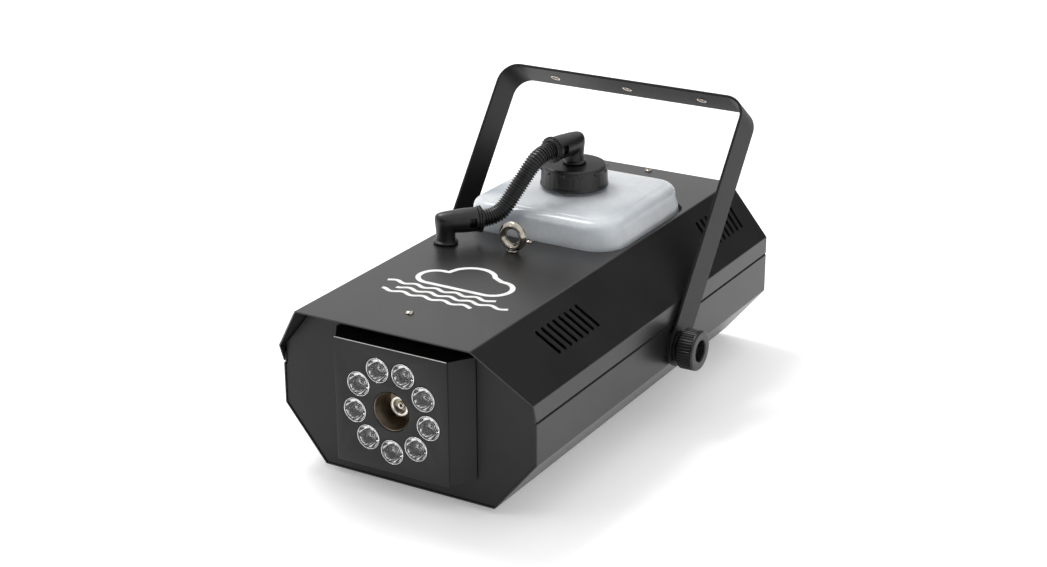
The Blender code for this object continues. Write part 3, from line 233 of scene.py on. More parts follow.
def finishes():
    """Every finish by name."""
    made = {}
    # Epoxy powder coat, sprayed and baked: a satin black with a fine orange peel. The real peel is
    # about 0.5 mm, and is drawn at 1.1 mm so that it shows.
    made["powder"] = textured("powder_coat", "#191818", "#201f1f", (0.30, 0.38), 1.1, 0.000012)
    # The lens plate and the parts round it take a shaded copy of the same coat, drawn with less gloss to stay
    # darker than the sides: painted shade.
    made["plate"] = textured(
        "powder_coat_painted_shade", "#1b1a1a", "#212020", (0.30, 0.38), 1.2, 0.000010, Specular_IOR_Level=0.26,
    )
    # The bent strap is drawn flatter and blacker still, a shaded copy of the coat: painted shade.
    made["strap"] = textured(
        "powder_coat_strap_painted_shade", "#0f0f0f", "#151515", (0.40, 0.50), 1.1, 0.000012, Specular_IOR_Level=0.2,
    )
    # Blow-moulded polyethylene: milky, waxy, lets light into the wall.
    made["hdpe"] = textured(
        "blow_moulded_polyethylene", "#bdc2c7", "#cfd3d6", (0.20, 0.26), 3.5, 0.00001, drift=45.0,
        Subsurface_Weight=0.7, Subsurface_Radius=(0.9, 1.0, 1.1), Subsurface_Scale=0.025, IOR=1.53,
    )
    # Moulded nylon: dense black with a spark-eroded mould grain of about 0.3 mm, drawn at 0.6 mm.
    made["nylon"] = textured("moulded_nylon", "#100f0f", "#161514", (0.32, 0.42), 0.6, 0.00001, drift=30.0)
    # The corrugated hose is a little glossier, because it is formed against polished blocks.
    made["conduit"] = textured(
        "conduit_nylon", "#131313", "#1a1a1a", (0.28, 0.36), 0.8, 0.000006, drift=25.0,
    )
    made["rubber"] = textured(
        "moulded_rubber", "#0e0e0e", "#151515", (0.68, 0.80), 0.7, 0.00002, drift=20.0,
    )
    # Nickel plate on steel: a warm mid grey with sharp reflections.
    made["nickel"] = textured(
        "nickel_plate", "#8d877d", "#bbb4a8", (0.07, 0.14), 0.9, 0.000004, metallic=1.0, drift=8.0
    )
    made["zinc"] = textured(
        "zinc_plate", "#a4a5a3", "#bfc0bd", (0.30, 0.42), 1.4, 0.000006, metallic=1.0, drift=12.0,
    )
    made["aluminium"] = textured(
        "cast_aluminium", "#a5a4a1", "#bcbbb8", (0.36, 0.52), 1.5, 0.00003, metallic=1.0, drift=20.0
    )
    # The cup is thin steel that heat has tinted brown.
    made["cup"] = textured(
        "heat_tinted_steel", "#83786a", "#aca08e", (0.30, 0.42), 1.6, 0.000008, metallic=1.0, drift=14.0
    )
    made["nozzle"] = textured(
        "machined_steel", "#c9c6bf", "#e4e2dc", (0.20, 0.30), 0.7, 0.000004, metallic=1.0, drift=6.0
    )
    # Vacuum-metallised reflector: a mirror with a slightly wavy skin.
    made["mirror"] = textured(
        "metallised_reflector", "#c8c8c8", "#f2f2f2", (0.04, 0.10), 2.2, 0.00004, metallic=1.0, drift=5.0
    )
    made["board"] = textured("solder_mask", "#12351f", "#1a4a2b", (0.32, 0.45), 0.8, 0.00001, drift=10.0)
    made["clear_hose"] = textured("clear_hose", "#b9bab4", "#d2d3ce", (0.2, 0.3), 1.2, 0.00001, drift=14.0)
    made["display"] = textured("smoked_acrylic", "#08080a", "#0d0d10", (0.08, 0.12), 3.0, 0.000002)
    made["rocker"] = textured(
        "red_polycarbonate", "#8f1210", "#a81a15", (0.22, 0.30), 1.0, 0.000004, drift=8.0,
    )
    # Screen-printed ink: a thin white film with a dry edge.
    made["ink"] = textured("screen_ink", "#d9d9d8", "#eeeeed", (0.45, 0.6), 0.8, 0.00001, drift=10.0)
    clear, tree, shader = new_material(
        "polished_acrylic", Transmission_Weight=1.0, IOR=1.49, Base_Color=linear("#dadada")
    )
    where = add(tree, "TexCoord").outputs["Object"]
    haze = add(tree, "TexNoise", {"Vector": where, "Scale": per_mm(2.0), "Detail": 2.0})
    gloss = add(tree, "MapRange", {0: haze.outputs[0], 1: 0.3, 2: 0.7, 3: 0.01, 4: 0.04})
    tree.links.new(gloss.outputs[0], shader.inputs["Roughness"])
    made["acrylic"] = clear
    return made


# ---- surfaces ----

def grid_faces(rows, columns, wrap):
    """Quads over a grid of rows by columns; wrap joins the last column to the first."""
    row = np.arange(rows - 1)[:, None] * columns
    first = np.arange(columns if wrap else columns - 1)[None, :]
    second = (first + 1) % columns
    return np.stack(
        [row + first, row + second, row + columns + second, row + columns + first], axis=-1
    ).reshape(-1, 4)


def piece(name, points, faces, finish, body, stands_for=(), sharp=40.0):
    """A piece from arrays of points and faces, its doubles merged and its faces turned outwards."""
    mesh = bpy.data.meshes.new(name)
    mesh.from_pydata(
        np.asarray(points, float).reshape(-1, 3).tolist(), [],
        [list(f) for f in np.asarray(faces).tolist()],
    )
    return finished(name, mesh, finish, body, stands_for, sharp)


def finished(name, mesh, finish, body, stands_for=(), sharp=40.0):
    """Cleans a mesh, gives it its finish and makes it ride on its body."""
    bm = bmesh.new()
    bm.from_mesh(mesh)
    bmesh.ops.remove_doubles(bm, verts=bm.verts[:], dist=2e-6)
    bmesh.ops.recalc_face_normals(bm, faces=bm.faces[:])
    bm.to_mesh(mesh)
    bm.free()
    mesh.shade_smooth()
    mesh.set_sharp_from_angle(angle=math.radians(sharp))
    mesh.materials.clear()
    mesh.materials.append(FINISH[finish])
    made = bpy.data.objects.new(name, mesh)
    bpy.context.scene.collection.objects.link(made)
    if body:
        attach(made, body)
    if stands_for:
        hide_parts(*stands_for)
    return made


def eased(profile, radius, steps=4):
    """A profile whose inner corners are eased by a quadratic curve between two points on their sides."""
    profile = np.asarray(profile, float)
    radius = np.broadcast_to(radius, len(profile))
    out = [profile[:1]]
    share = np.linspace(0.0, 1.0, steps + 1)[:, None]
    for before, corner, after, size in zip(profile, profile[1:], profile[2:], radius[1:]):
        back, ahead = before - corner, after - corner
        reach = min(size, 0.45 * np.linalg.norm(back), 0.45 * np.linalg.norm(ahead))
        if reach < 1e-7:
            out.append(corner[None])
            continue
        start = corner + back / np.linalg.norm(back) * reach
        end = corner + ahead / np.linalg.norm(ahead) * reach
        out.append((1 - share) ** 2 * start + 2 * share * (1 - share) * corner + share ** 2 * end)
    out.append(profile[-1:])
    return np.concatenate(out)


def axes_for(direction):
    """Two unit vectors square to a direction, and the direction."""
    direction = np.asarray(direction, float) / np.linalg.norm(direction)
    side = np.cross([0.0, 0.0, 1.0], direction)
    if np.linalg.norm(side) < 1e-6:
        side = np.array([1.0, 0.0, 0.0])
    side = side / np.linalg.norm(side)
    return side, np.cross(direction, side), direction


def turned_points(profile, centre, direction, sides, wobble=None):
    """Rows of rings: centre + height * axis + radius * (cos * side + sin * up). wobble alters the radius."""
    profile = np.asarray(profile, float)
    side, up, axis = axes_for(direction)
    angle = np.arange(sides) * TAU / sides
    radius = np.repeat(profile[:, :1], sides, axis=1)
    height = np.repeat(profile[:, 1:], sides, axis=1)
    if wobble:
        radius = radius + wobble(angle[None, :], height, radius)
    ring = np.cos(angle)[None, :, None] * side + np.sin(angle)[None, :, None] * up
    return np.asarray(centre) + height[..., None] * axis + radius[..., None] * ring


def turned(name, profile, centre, direction, finish, body, stands_for=(), sides=64, wobble=None, loop=False,
           sharp=40.0):
    """A turned piece. loop joins the profile's last point to its first, as on a ring with a bore."""
    profile = np.asarray(profile, float)
    if loop:
        profile = np.concatenate([profile, profile[:1]])
    points = turned_points(profile, centre, direction, sides, wobble)
    faces = grid_faces(len(profile), sides, True)
    return piece(name, points, faces, finish, body, stands_for, sharp)


def solid_from(name, points, rows, sides):
    """A hidden mesh object from rings, used to cut or join."""
    mesh = bpy.data.meshes.new(name)
    mesh.from_pydata(points.reshape(-1, 3).tolist(), [], grid_faces(rows, sides, True).tolist())
    bm = bmesh.new()
    bm.from_mesh(mesh)
    bmesh.ops.remove_doubles(bm, verts=bm.verts[:], dist=2e-6)
    bmesh.ops.recalc_face_normals(bm, faces=bm.faces[:])
    bm.to_mesh(mesh)
    bm.free()
    made = bpy.data.objects.new(name, mesh)
    bpy.context.scene.collection.objects.link(made)
    return made


def capped_mesh(name, points):
    """A mesh over rows of rings, with a face across the first ring and one across the last."""
    rows, sides = points.shape[:2]
    faces = grid_faces(rows, sides, True).tolist()
    faces += [list(range(sides)), list(range((rows - 1) * sides, rows * sides))]
    mesh = bpy.data.meshes.new(name)
    mesh.from_pydata(points.reshape(-1, 3).tolist(), [], faces)
    return mesh


def capped_solid(name, points):
    """A hidden mesh object from rows of rings, closed at both ends."""
    mesh = capped_mesh(name, points)
    bm = bmesh.new()
    bm.from_mesh(mesh)
    bmesh.ops.recalc_face_normals(bm, faces=bm.faces[:])
    bm.to_mesh(mesh)
    bm.free()
    made = bpy.data.objects.new(name, mesh)
    bpy.context.scene.collection.objects.link(made)
    return made


def turned_solid(name, profile, centre, direction, sides=64):
    """A hidden turned solid, used to cut or join."""
    profile = np.asarray(profile, float)
    return solid_from(name, turned_points(profile, centre, direction, sides), len(profile), sides)


def rod(name, radius, start, end, sides=48):
    """A closed cylinder between two points, used to cut or join."""
    start, end = np.asarray(start, float), np.asarray(end, float)
    long = np.linalg.norm(end - start)
    return turned_solid(name, [(0, 0), (radius, 0), (radius, long), (0, long)], start, end - start, sides)


def block(name, low, high):
    """A closed box between two corners, used to cut or join."""
    bm = bmesh.new()
    low, high = Vector(low), Vector(high)
    where = Matrix.Translation((low + high) / 2) @ Matrix.Diagonal((*(high - low), 1.0))
    bmesh.ops.create_cube(bm, size=1.0, matrix=where)
    mesh = bpy.data.meshes.new(name)
    bm.to_mesh(mesh)
    bm.free()
    made = bpy.data.objects.new(name, mesh)
    bpy.context.scene.collection.objects.link(made)
    return made


def carved(base, joined=(), cut=()):
    """The mesh of a base with other solids joined to it and cut from it. The solids are removed."""
    for others, operation in ((joined, "UNION"), (cut, "DIFFERENCE")):
        for other in others:
            step = base.modifiers.new(other.name, "BOOLEAN")
            step.operation = operation
            step.object = other
            step.solver = "EXACT"
    bpy.context.view_layer.update()
    mesh = bpy.data.meshes.new_from_object(base.evaluated_get(bpy.context.evaluated_depsgraph_get()))
    for done in (base, *joined, *cut):
        bpy.data.objects.remove(done)
    return mesh


def smooth_route(points, count):
    """A Catmull-Rom curve through points, read at evenly spaced places along it."""
    points = np.asarray(points, float)
    ends = np.concatenate([2 * points[:1] - points[1:2], points, 2 * points[-1:] - points[-2:-1]])
    share = (np.arange(24) / 24.0)[None, :, None]
    p0, p1, p2, p3 = (ends[i:len(ends) - 3 + i, None, :] for i in range(4))
    curve = 0.5 * (
        2 * p1 + (p2 - p0) * share + (2 * p0 - 5 * p1 + 4 * p2 - p3) * share ** 2
        + (3 * p1 - p0 - 3 * p2 + p3) * share ** 3
    )
    fine = np.concatenate([curve.reshape(-1, 3), points[-1:]])
    along = np.concatenate([[0.0], np.cumsum(np.linalg.norm(np.diff(fine, axis=0), axis=1))])
    goal = np.linspace(0.0, along[-1], count)
    return np.stack([np.interp(goal, along, fine[:, i]) for i in range(3)], axis=1)


# ---- head ----

def lens_spots():
    """The (x, z) places of the nine lenses, the first one at the bottom of the ring."""
    angle = -math.pi / 2 + TAU * np.arange(9) / 9
    return np.stack([RING_RADIUS * np.cos(angle), RING_Z + RING_RADIUS * np.sin(angle)], axis=1)


def lens_plate():
    """A flat plate with ten round holes: a filled outline, thickened both ways, with an eased edge.

    Its upper edge has a thin bright strip of zinc: a painted highlight, standing in for light caught on the
    coat's eased edge.
    """
    half, low, high, thick, ease = 0.0553, 0.0220, 0.1333, 0.0015, 0.0006
    curve = bpy.data.curves.new("lens_plate_outline", "CURVE")
    curve.dimensions = "2D"
    curve.fill_mode = "BOTH"
    curve.extrude = thick / 2 - ease
    curve.bevel_depth = ease
    curve.bevel_resolution = 2
    curve.offset = -ease
    angle = np.arange(64) * TAU / 64
    circle = np.stack([np.cos(angle), np.sin(angle)], axis=1)
    outlines = [np.array([(-half, low), (half, low), (half, high), (-half, high)])]
    outlines.append(circle * 0.0175 + (0.0, RING_Z))
    outlines += [circle * 0.0112 + spot for spot in lens_spots()]
    for outline in outlines:
        spline = curve.splines.new("POLY")
        spline.points.add(len(outline) - 1)
        knots = np.concatenate([outline, np.zeros((len(outline), 1)), np.ones((len(outline), 1))], axis=1)
        spline.points.foreach_set("co", knots.ravel())
        spline.use_cyclic_u = True
    flat = bpy.data.objects.new("lens_plate_outline", curve)
    bpy.context.scene.collection.objects.link(flat)
    bpy.context.view_layer.update()
    mesh = bpy.data.meshes.new_from_object(flat.evaluated_get(bpy.context.evaluated_depsgraph_get()))
    bpy.data.objects.remove(flat)
    mesh.transform(
        Matrix.Translation(place(0, PLATE_Y + thick / 2, 0)) @ Matrix.Rotation(math.pi / 2, 4, "X")
    )
    # The plate face takes the shaded copy of the coat: painted shade.
    finished("lens_plate_face", mesh, "plate", "housing", ("lens_plate",), 50.0)
    # Painted highlight: a bright zinc strip along the upper edge, in place of light caught on the coat's
    # eased edge.
    edge = block(
        "lens_plate_highlight_strip_base", place(-half + 0.0008, PLATE_Y - 0.0001, high - 0.0004),
        place(half - 0.0008, PLATE_Y + 0.0012, high + 0.0002),
    )
    finished("lens_plate_highlight_strip", carved(edge), "zinc", "housing", (), 30.0)


def led(number, x, z):
    """One LED: a black holder, a chip at its root, a solid lens with a cone of sqrt(depth), and a bright rim.

    The lens has a low dome in front and a round well behind for the chip, so it gathers light by reflection
    inside its cone.
    """
    front = (0.0, -1.0, 0.0)
    spot = place(x, PLATE_Y, z)
    deep, root = 0.0084, 0.0034
    run = np.linspace(0.0, 1.0, 14)
    cone = np.stack([root + (0.0096 - root) * np.sqrt(1.0 - run), -0.0018 - (deep - 0.0018) * run], axis=1)
    dome = np.stack([0.0096 * run, 0.0011 - 0.0013 * run ** 2], axis=1)
    well = eased(
        [(root, -deep), (0.0025, -deep), (0.0023, -0.0056), (0.0012, -0.0049), (0.0, -0.0047)], 0.0006,
    )
    lens = np.concatenate([dome, [(0.0101, -0.0004), (0.0101, -0.0016)], cone, well[1:]])
    turned(
        f"led_lens_{number}_dome", lens, spot, front, "acrylic", "housing", (f"led_lens_{number}",), 64,
        sharp=30.0,
    )
    holder = np.concatenate([
        [(0.0108, -0.0016), (0.0104, -0.0016)], cone[:-1] + (0.0007, -0.0003),
        [(0.0, -0.0087), (0.0, -0.0088), (0.0042, -0.0088), (0.0108, -0.0040)],
    ])
    turned(
        f"led_holder_{number}", holder, spot, front, "nylon", "housing", (), 64, None, True, 30.0,
    )
    chip = eased(
        [(0.0, -0.0062), (0.0011, -0.0066), (0.0015, -0.0078), (0.0015, -0.0083), (0.0, -0.0083)], 0.0005,
    )
    turned(f"led_chip_{number}", chip, spot, front, "display", "housing", (), 32)
    seat = [(0.0016, -0.0079), (0.0024, -0.0079), (0.0024, -0.0084), (0.0016, -0.0084)]
    turned(
        f"led_seat_{number}", seat, spot, front, "mirror", "housing", (), 32, None, True,
    )
    rim = eased([
        (0.0103, -0.0012), (0.0103, 0.0002), (0.0106, 0.0006), (0.0110, 0.0002), (0.0110, -0.0012),
    ], 0.0002)
    turned(
        f"led_rim_{number}", rim, spot, front, "mirror", "housing", (), 64, None, True,
    )


def nozzle_and_cup():
    """The rolled cup and the nozzle.

    The cup's radius shrinks a little round the turn and steps back at its lapped seam.
    """
    front = (0.0, -1.0, 0.0)
    spot = place(0.0, PLATE_Y, RING_Z)

    def lapped(angle, height, radius):
        turn = ((angle + 0.9) % TAU) / TAU
        return np.where(radius > 0.012, -0.0006 * turn, 0.0)

    cup = eased([
        (0.0172, -0.0001), (0.0168, -0.0240), (0.0096, -0.0240), (0.0096, -0.0234), (0.0161, -0.0233),
        (0.0169, -0.0004),
    ], 0.0001)
    turned(
        "nozzle_cup_wall", cup, spot, front, "cup", "housing", ("nozzle_cup",), 96, lapped, True, 40.0,
    )
    tip = eased([
        (0.0, -0.0200), (
            0.0011, -0.0200,
        ), (0.0011, -0.0142), (0.0027, -0.0138), (0.0033, -0.0145), (0.0033, -0.0180),
        (0.0057, -0.0180), (0.0060, -0.0128), (0.0066, -0.0122), (0.0086, -0.0122), (0.0093, -0.0129),
        (0.0093, -0.0310), (0.0, -0.0310),
    ], 0.0004)
    turned("nozzle_tip", tip, spot, front, "nozzle", "housing", ("nozzle",), 64)
    # Painted shade: a ring of the darker tinted steel at the floor of the nozzle's annular recess, put there
    # to darken it.
    recess_shade = [(0.0034, -0.0160), (0.0058, -0.0160), (0.0057, -0.0179), (0.0034, -0.0179)]
    turned("nozzle_recess_shade_ring", recess_shade, spot, front, "cup", "housing", (), 48, None, True)


# ---- tank and cap ----

def plan_outline(half_x, half_y, radius, count):
    """A rounded rectangle by angle: straight runs and quarter arcs, read at even steps along its length."""
    arc = np.linspace(0.0, math.pi / 2, 17)
    corners = []
    for k, (sx, sy) in enumerate(((1, 1), (-1, 1), (-1, -1), (1, -1))):
        turn = arc + k * math.pi / 2
        centre = np.array([sx * (half_x - radius), sy * (half_y - radius)])
        corners.append(centre + radius * np.stack([np.cos(turn), np.sin(turn)], axis=1))
    path = np.concatenate(corners + [corners[0][:1]])
    along = np.concatenate([[0.0], np.cumsum(np.linalg.norm(np.diff(path, axis=0), axis=1))])
    goal = np.linspace(0.0, along[-1], count, endpoint=False)
    return np.stack([np.interp(goal, along, path[:, i]) for i in range(2)], axis=1)


def fluid_tank():
    """The tank: rounded rectangles stacked by height, then circles up the neck.

    The walls lean in a little above the cover. Over the shoulder the inset is 1 - cos and the drop is
    1 - sin of a quarter turn. On the top the outline goes from rectangle to circle by a smooth step,
    over a slight crown.
    """
    count = 192
    low, shoulder, high = 0.0605, 0.1690, 0.1780
    half_x, half_y, corner = 0.0790, (TANK_BACK - TANK_FRONT) / 2, 0.0280
    toe, lean, fillet, neck = 0.0080, 0.0036, 0.0090, 0.0262
    turn = np.linspace(0.0, math.pi / 2, 13)[:, None]
    steps = np.concatenate([
        [(0.0600, low), (0.0300, low)],
        np.concatenate([toe * (1 - np.sin(turn)), low + toe * (1 - np.cos(turn))], axis=1),
        [(0.0, 0.1500), (lean * 0.35, 0.1600), (lean * 0.8, shoulder - 0.004)],
        np.concatenate([lean + fillet * (1 - np.cos(turn)), shoulder + fillet * np.sin(turn)], axis=1),
    ])
    rows = [plan_outline(half_x - i, half_y - i, max(corner - i, 0.006), count) for i, _ in steps]
    heights = list(steps[:, 1])
    rim = rows[-1]
    middle = (TANK_FRONT + TANK_BACK) / 2
    angle = np.arctan2(rim[:, 1], rim[:, 0])
    circle = np.stack([np.cos(angle), np.sin(angle)], axis=1)
    about_cap = circle * neck + (0.0, CAP_Y - middle)
    for share in np.linspace(0.08, 1.0, 12):
        step = share * share * (3 - 2 * share)
        rows.append((1 - step) * rim + step * about_cap)
        heights.append(high + 0.0042 * math.sin(share * math.pi / 2))
    for radius, height in (
        (neck - 0.0010, high + 0.0048), (neck - 0.0016, 0.2000), (neck - 0.0060, 0.2000),
    ):
        rows.append(circle * radius + (0.0, CAP_Y - middle))
        heights.append(height)
    points = np.zeros((len(rows), count, 3))
    points[..., :2] = np.array(rows)
    points[..., 2] = np.array(heights)[:, None]
    mesh = capped_mesh("tank_shell", points + place(0.0, middle, 0.0))
    finished("tank_shell", mesh, "hdpe", "tank", ("fluid_tank",), 60.0)


def tank_cap():
    """The cap: a turned skirt with shallow ribs round it and a row of small lugs under its upper edge."""
    height = CAP_HIGH - CAP_LOW
    profile = eased([
        (0.0090, height), (0.0282, height), (0.0300, height - 0.0014), (0.0303, height - 0.0026),
        (
            0.0303, height - 0.0030,
        ), (0.0303, height - 0.0040), (0.0303, height - 0.0052), (0.0304, height - 0.0060),
        (
            0.0304, height - 0.0072,
        ), (0.0307, 0.0045), (0.0309, 0.0035), (0.0315, 0.0022), (0.0315, 0.0), (0.0257, 0.0),
        (0.0257, height - 0.0024), (0.0090, height - 0.0024),
    ], 0.0006)

    def ribs(angle, up, radius):
        outside = np.clip((radius - 0.0292) / 0.0008, 0.0, 1.0)
        rib = np.clip(np.cos(angle * 36.0) * 3.0 - 1.0, 0.0, 1.0)
        band = np.clip((up - 0.003) / 0.001, 0, 1) * np.clip((height - 0.0058 - up) / 0.001, 0, 1)
        lug = np.clip(np.cos((angle + math.radians(51.5)) * 12.0) * 9.0 - 7.2, 0.0, 1.0)
        ledge = np.clip(
            (up - height + 0.0056) / 0.0004, 0, 1,
        ) * np.clip((height - 0.0026 - up) / 0.0004, 0, 1)
        return outside * (0.00012 * rib * band + 0.0012 * lug * ledge)

    turned(
        "cap_skirt", profile, place(0, CAP_Y, CAP_LOW), (0, 0, 1), "nylon", "cap", ("tank_cap",), 360, ribs,
        True, 35.0,
    )


# ---- hose and elbows ----

def elbow(name, spot, body, node):
    """A conduit elbow. In its bend every ring lies in a plane through one line at the inner corner.

    A point w from that line sits at w * (-cos, sin) of the swing, divided by the eighth-power norm of the
    two, so the outer corner is tight. Before the bend the rings are level, after it they are upright, and
    the radius steps out at the collar and grows along the barrel.
    """
    sides, bow = 96, 8.0
    throat, slack = 0.0104, 0.0008
    corner_x, corner_z = STEM_RADIUS + slack, ELBOW_RISE - throat - slack
    low = np.array(eased([
        (
            0.0002, -0.0090,
        ), (0.0080, -0.0090), (0.0084, -0.0084), (0.0084, GAP), (0.0108, GAP), (0.0112, 0.0010),
        (0.0112, 0.0022), (0.0104, 0.0029), (STEM_RADIUS, 0.0034), (STEM_RADIUS, corner_z),
    ], 0.0004))
    swing = np.linspace(0.0, math.pi / 2, 26)
    norm = (np.cos(swing) ** bow + np.sin(swing) ** bow) ** (1.0 / bow)
    ease = np.sin(swing) ** 2
    bend_radius = STEM_RADIUS + (throat - STEM_RADIUS) * ease
    high = np.array(eased([
        (throat, corner_x), (SOCKET_RADIUS - 0.0001, corner_x + 0.0060), (SOCKET_RADIUS, SOCKET_LENGTH),
        (0.0003, SOCKET_LENGTH),
    ], [0, 0.003, 0.0005, 0]))
    angle = np.arange(sides) * TAU / sides
    out, side = np.cos(angle)[None, :], np.sin(angle)[None, :]
    stem = np.stack([-low[:, :1] * out, low[:, :1] * side, np.repeat(low[:, 1:], sides, axis=1)], axis=-1)
    away = (bend_radius + slack)[:, None] + bend_radius[:, None] * out
    bend = np.stack([
        corner_x - away * (np.cos(swing) / norm)[:, None], bend_radius[:, None] * side,
        corner_z + away * (np.sin(swing) / norm)[:, None],
    ], axis=-1)
    barrel = np.stack([
        np.repeat(high[:, 1:], sides, axis=1), high[:, :1] * side, ELBOW_RISE + high[:, :1] * out
    ], axis=-1)
    points = np.concatenate([stem, bend[1:], barrel[1:]])
    base = capped_solid(name, points)
    mouth = rod(name + "_mouth", 0.0086, (SOCKET_LENGTH - 0.016, 0, ELBOW_RISE), (0.05, 0, ELBOW_RISE))
    edge = SOCKET_LENGTH - 0.0058
    window = block(
        name + "_window", (edge - 0.0032, -0.02, ELBOW_RISE - 0.0042),
        (edge + 0.0032, 0.02, ELBOW_RISE + 0.0042),
    )
    mesh = carved(base, (), [mouth, window])
    x, y, z, turn = spot
    mesh.transform(Matrix.Translation(place(x, y, z)) @ Matrix.Rotation(turn, 4, "Z"))
    finished(name, mesh, "nylon", body, (node,), 32.0)


def socket_end(spot):
    """Where an elbow's socket ends, and the level way it faces."""
    x, y, z, turn = spot
    way = np.array([math.cos(turn), math.sin(turn), 0.0])
    return place(x, y, z + ELBOW_RISE) + way * SOCKET_LENGTH, way


def locking_ring(name, end, way, body, node):
    """The ring that locks the hose: a stepped collar with fine teeth round its rim."""
    profile = eased([
        (0.0116, 0.0), (
            0.0121, 0.0004,
        ), (0.0121, 0.0013), (0.0108, 0.0016), (0.0108, 0.0021), (0.0118, 0.0024),
        (0.0118, 0.0033), (0.0102, 0.0037), (0.0100, RING_LENGTH), (0.0084, RING_LENGTH), (0.0084, 0.0),
    ], 0.0002)

    def teeth(angle, height, radius):
        return 0.0003 * np.clip(
            np.cos(angle * 24.0) * 2.0, -1.0, 1.0,
        ) * ((radius > 0.0112) & (height > 0.0020))

    turned(name, profile, end + way * GAP, way, "nylon", body, (node,), 144, teeth, True, 35.0)


def feed_hose():
    """The corrugated hose: rings square to its route, whose radius follows a clipped cosine wave along it."""
    start_end, start_way = socket_end(HOUSING_ELBOW)
    far_end, far_way = socket_end(CAP_ELBOW)
    start = start_end + start_way * (GAP + RING_LENGTH)
    far = far_end + far_way * (GAP + RING_LENGTH)
    rise = [
        place(-0.0325, 0.1962, 0.1757), place(-0.0268, 0.2043, 0.1817), place(-0.0199, 0.2179, 0.1992),
        place(-0.0131, 0.2316, 0.2167), place(-0.0098, 0.2409, 0.2227),
    ]
    knots = [start_end - start_way * HOSE_IN_SOCKET, start_end, start]
    knots += rise
    knots += [far, far_end, far_end - far_way * HOSE_IN_SOCKET]
    rings, sides, pitch, groove = 800, 40, 0.0025, 0.00065
    route = smooth_route(knots, rings)
    length = float(np.linalg.norm(np.diff(route, axis=0), axis=1).sum())
    along = np.linspace(0.0, length, rings)
    tangent = np.gradient(route, axis=0)
    tangent /= np.linalg.norm(tangent, axis=1, keepdims=True)
    span = far - start
    aside = np.cross(span, [0.0, 0.0, 1.0])
    aside /= np.linalg.norm(aside)
    normal = aside - (tangent @ aside)[:, None] * tangent
    normal /= np.linalg.norm(normal, axis=1, keepdims=True)
    other = np.cross(tangent, normal)
    wave = np.clip(np.cos(along / pitch * TAU) * 1.9 - 0.2, -1.0, 1.0)
    radius = HOSE_RADIUS - groove + groove * wave
    angle = np.arange(sides) * TAU / sides
    ring = np.cos(angle)[None, :, None] * normal[:, None] + np.sin(angle)[None, :, None] * other[:, None]
    points = route[:, None] + radius[:, None, None] * ring
    hose = finished(
        "corrugated_hose", capped_mesh("corrugated_hose", points), "conduit", None, (), 50.0,
    )
    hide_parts("feed_hose")
    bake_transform(hose)

# ---- yoke, knobs and fittings ----

def yoke():
    """The strap: a flat bar with eased edges carried along its bent path, its ends closed as half rounds.

    The path runs up one arm, round a corner arc, along the bar and down the other arm. Near an end the half
    width is the chord of a circle about the pivot.
    """
    inner, reach, corner, half, thick = 0.1275, 0.2339, 0.0175, 0.0180, 0.0025
    arc = np.linspace(0.0, math.pi / 2, 17)
    chord = half * np.sin(np.linspace(0.0, math.pi / 2, 13))
    below = -np.sqrt(np.maximum(half * half - chord * chord, 0.0))
    arm = np.stack([np.full(13, inner), below], axis=1)
    widths = list(chord) + [half] * (len(arc) + 1)
    bend = np.stack([inner - corner + corner * np.cos(arc), reach - corner + corner * np.sin(arc)], axis=1)
    path = np.concatenate([arm, bend, [[0.0, reach]]])
    out = np.concatenate(
        [np.tile([1.0, 0.0], (13, 1)), np.stack([np.cos(arc), np.sin(arc)], axis=1), [[0.0, 1.0]]]
    )
    path = np.concatenate([path, (path * [-1, 1])[::-1][1:]])
    out = np.concatenate([out, (out * [-1, 1])[::-1][1:]])
    widths = np.array(widths + widths[::-1][1:])
    ease = 0.0004
    section = np.array([
        (-1, ease), (-1, thick - ease), (-1 + 0.02, thick), (1 - 0.02, thick), (1, thick - ease), (1, ease),
        (1 - 0.02, 0.0), (-1 + 0.02, 0.0),
    ])
    up = np.array([0.0, math.sin(YOKE_LEAN), math.cos(YOKE_LEAN)])
    wide = np.array([0.0, math.cos(YOKE_LEAN), -math.sin(YOKE_LEAN)])
    sideways = np.array([1.0, 0.0, 0.0])
    line = path[:, :1] * sideways + path[:, 1:] * up
    outward = out[:, :1] * sideways + out[:, 1:] * up
    across = np.maximum(widths, 1e-5)[:, None] * section[:, 0]
    points = line[:, None] + outward[:, None] * section[:, 1][None, :, None] + across[..., None] * wide
    pivot = place(0.0, PIVOT_Y, PIVOT_Z)
    base = capped_solid("yoke_strap", points + pivot)
    holes = [
        rod(f"eye_{s}", 0.0043, pivot + sideways * s * 0.11, pivot + sideways * s * 0.14) for s in (-1, 1)
    ]
    for step in (-1, 0, 1):
        spot = pivot + sideways * step * YOKE_HOLE_STEP + up * reach
        holes.append(rod(f"hole_{step + 1}", 0.0040, spot - up * 0.01, spot + up * 0.01))
        rim = eased([
            (
                0.0033, -0.0003,
            ), (0.0047, -0.0003), (0.0047, 0.0), (0.0039, 0.0), (0.0039, thick), (0.0047, thick),
            (0.0047, thick + 0.0003), (0.0033, thick + 0.0003),
        ], 0.0001)
        turned(
            f"yoke_eyelet_{step + 2}", rim, spot, up, "nickel", "yoke", (), 48, None, True,
        )
    # The strap takes the flatter, blacker copy of the coat: painted shade.
    finished("yoke_strap", carved(base, (), holes), "strap", "yoke", ("yoke",), 30.0)


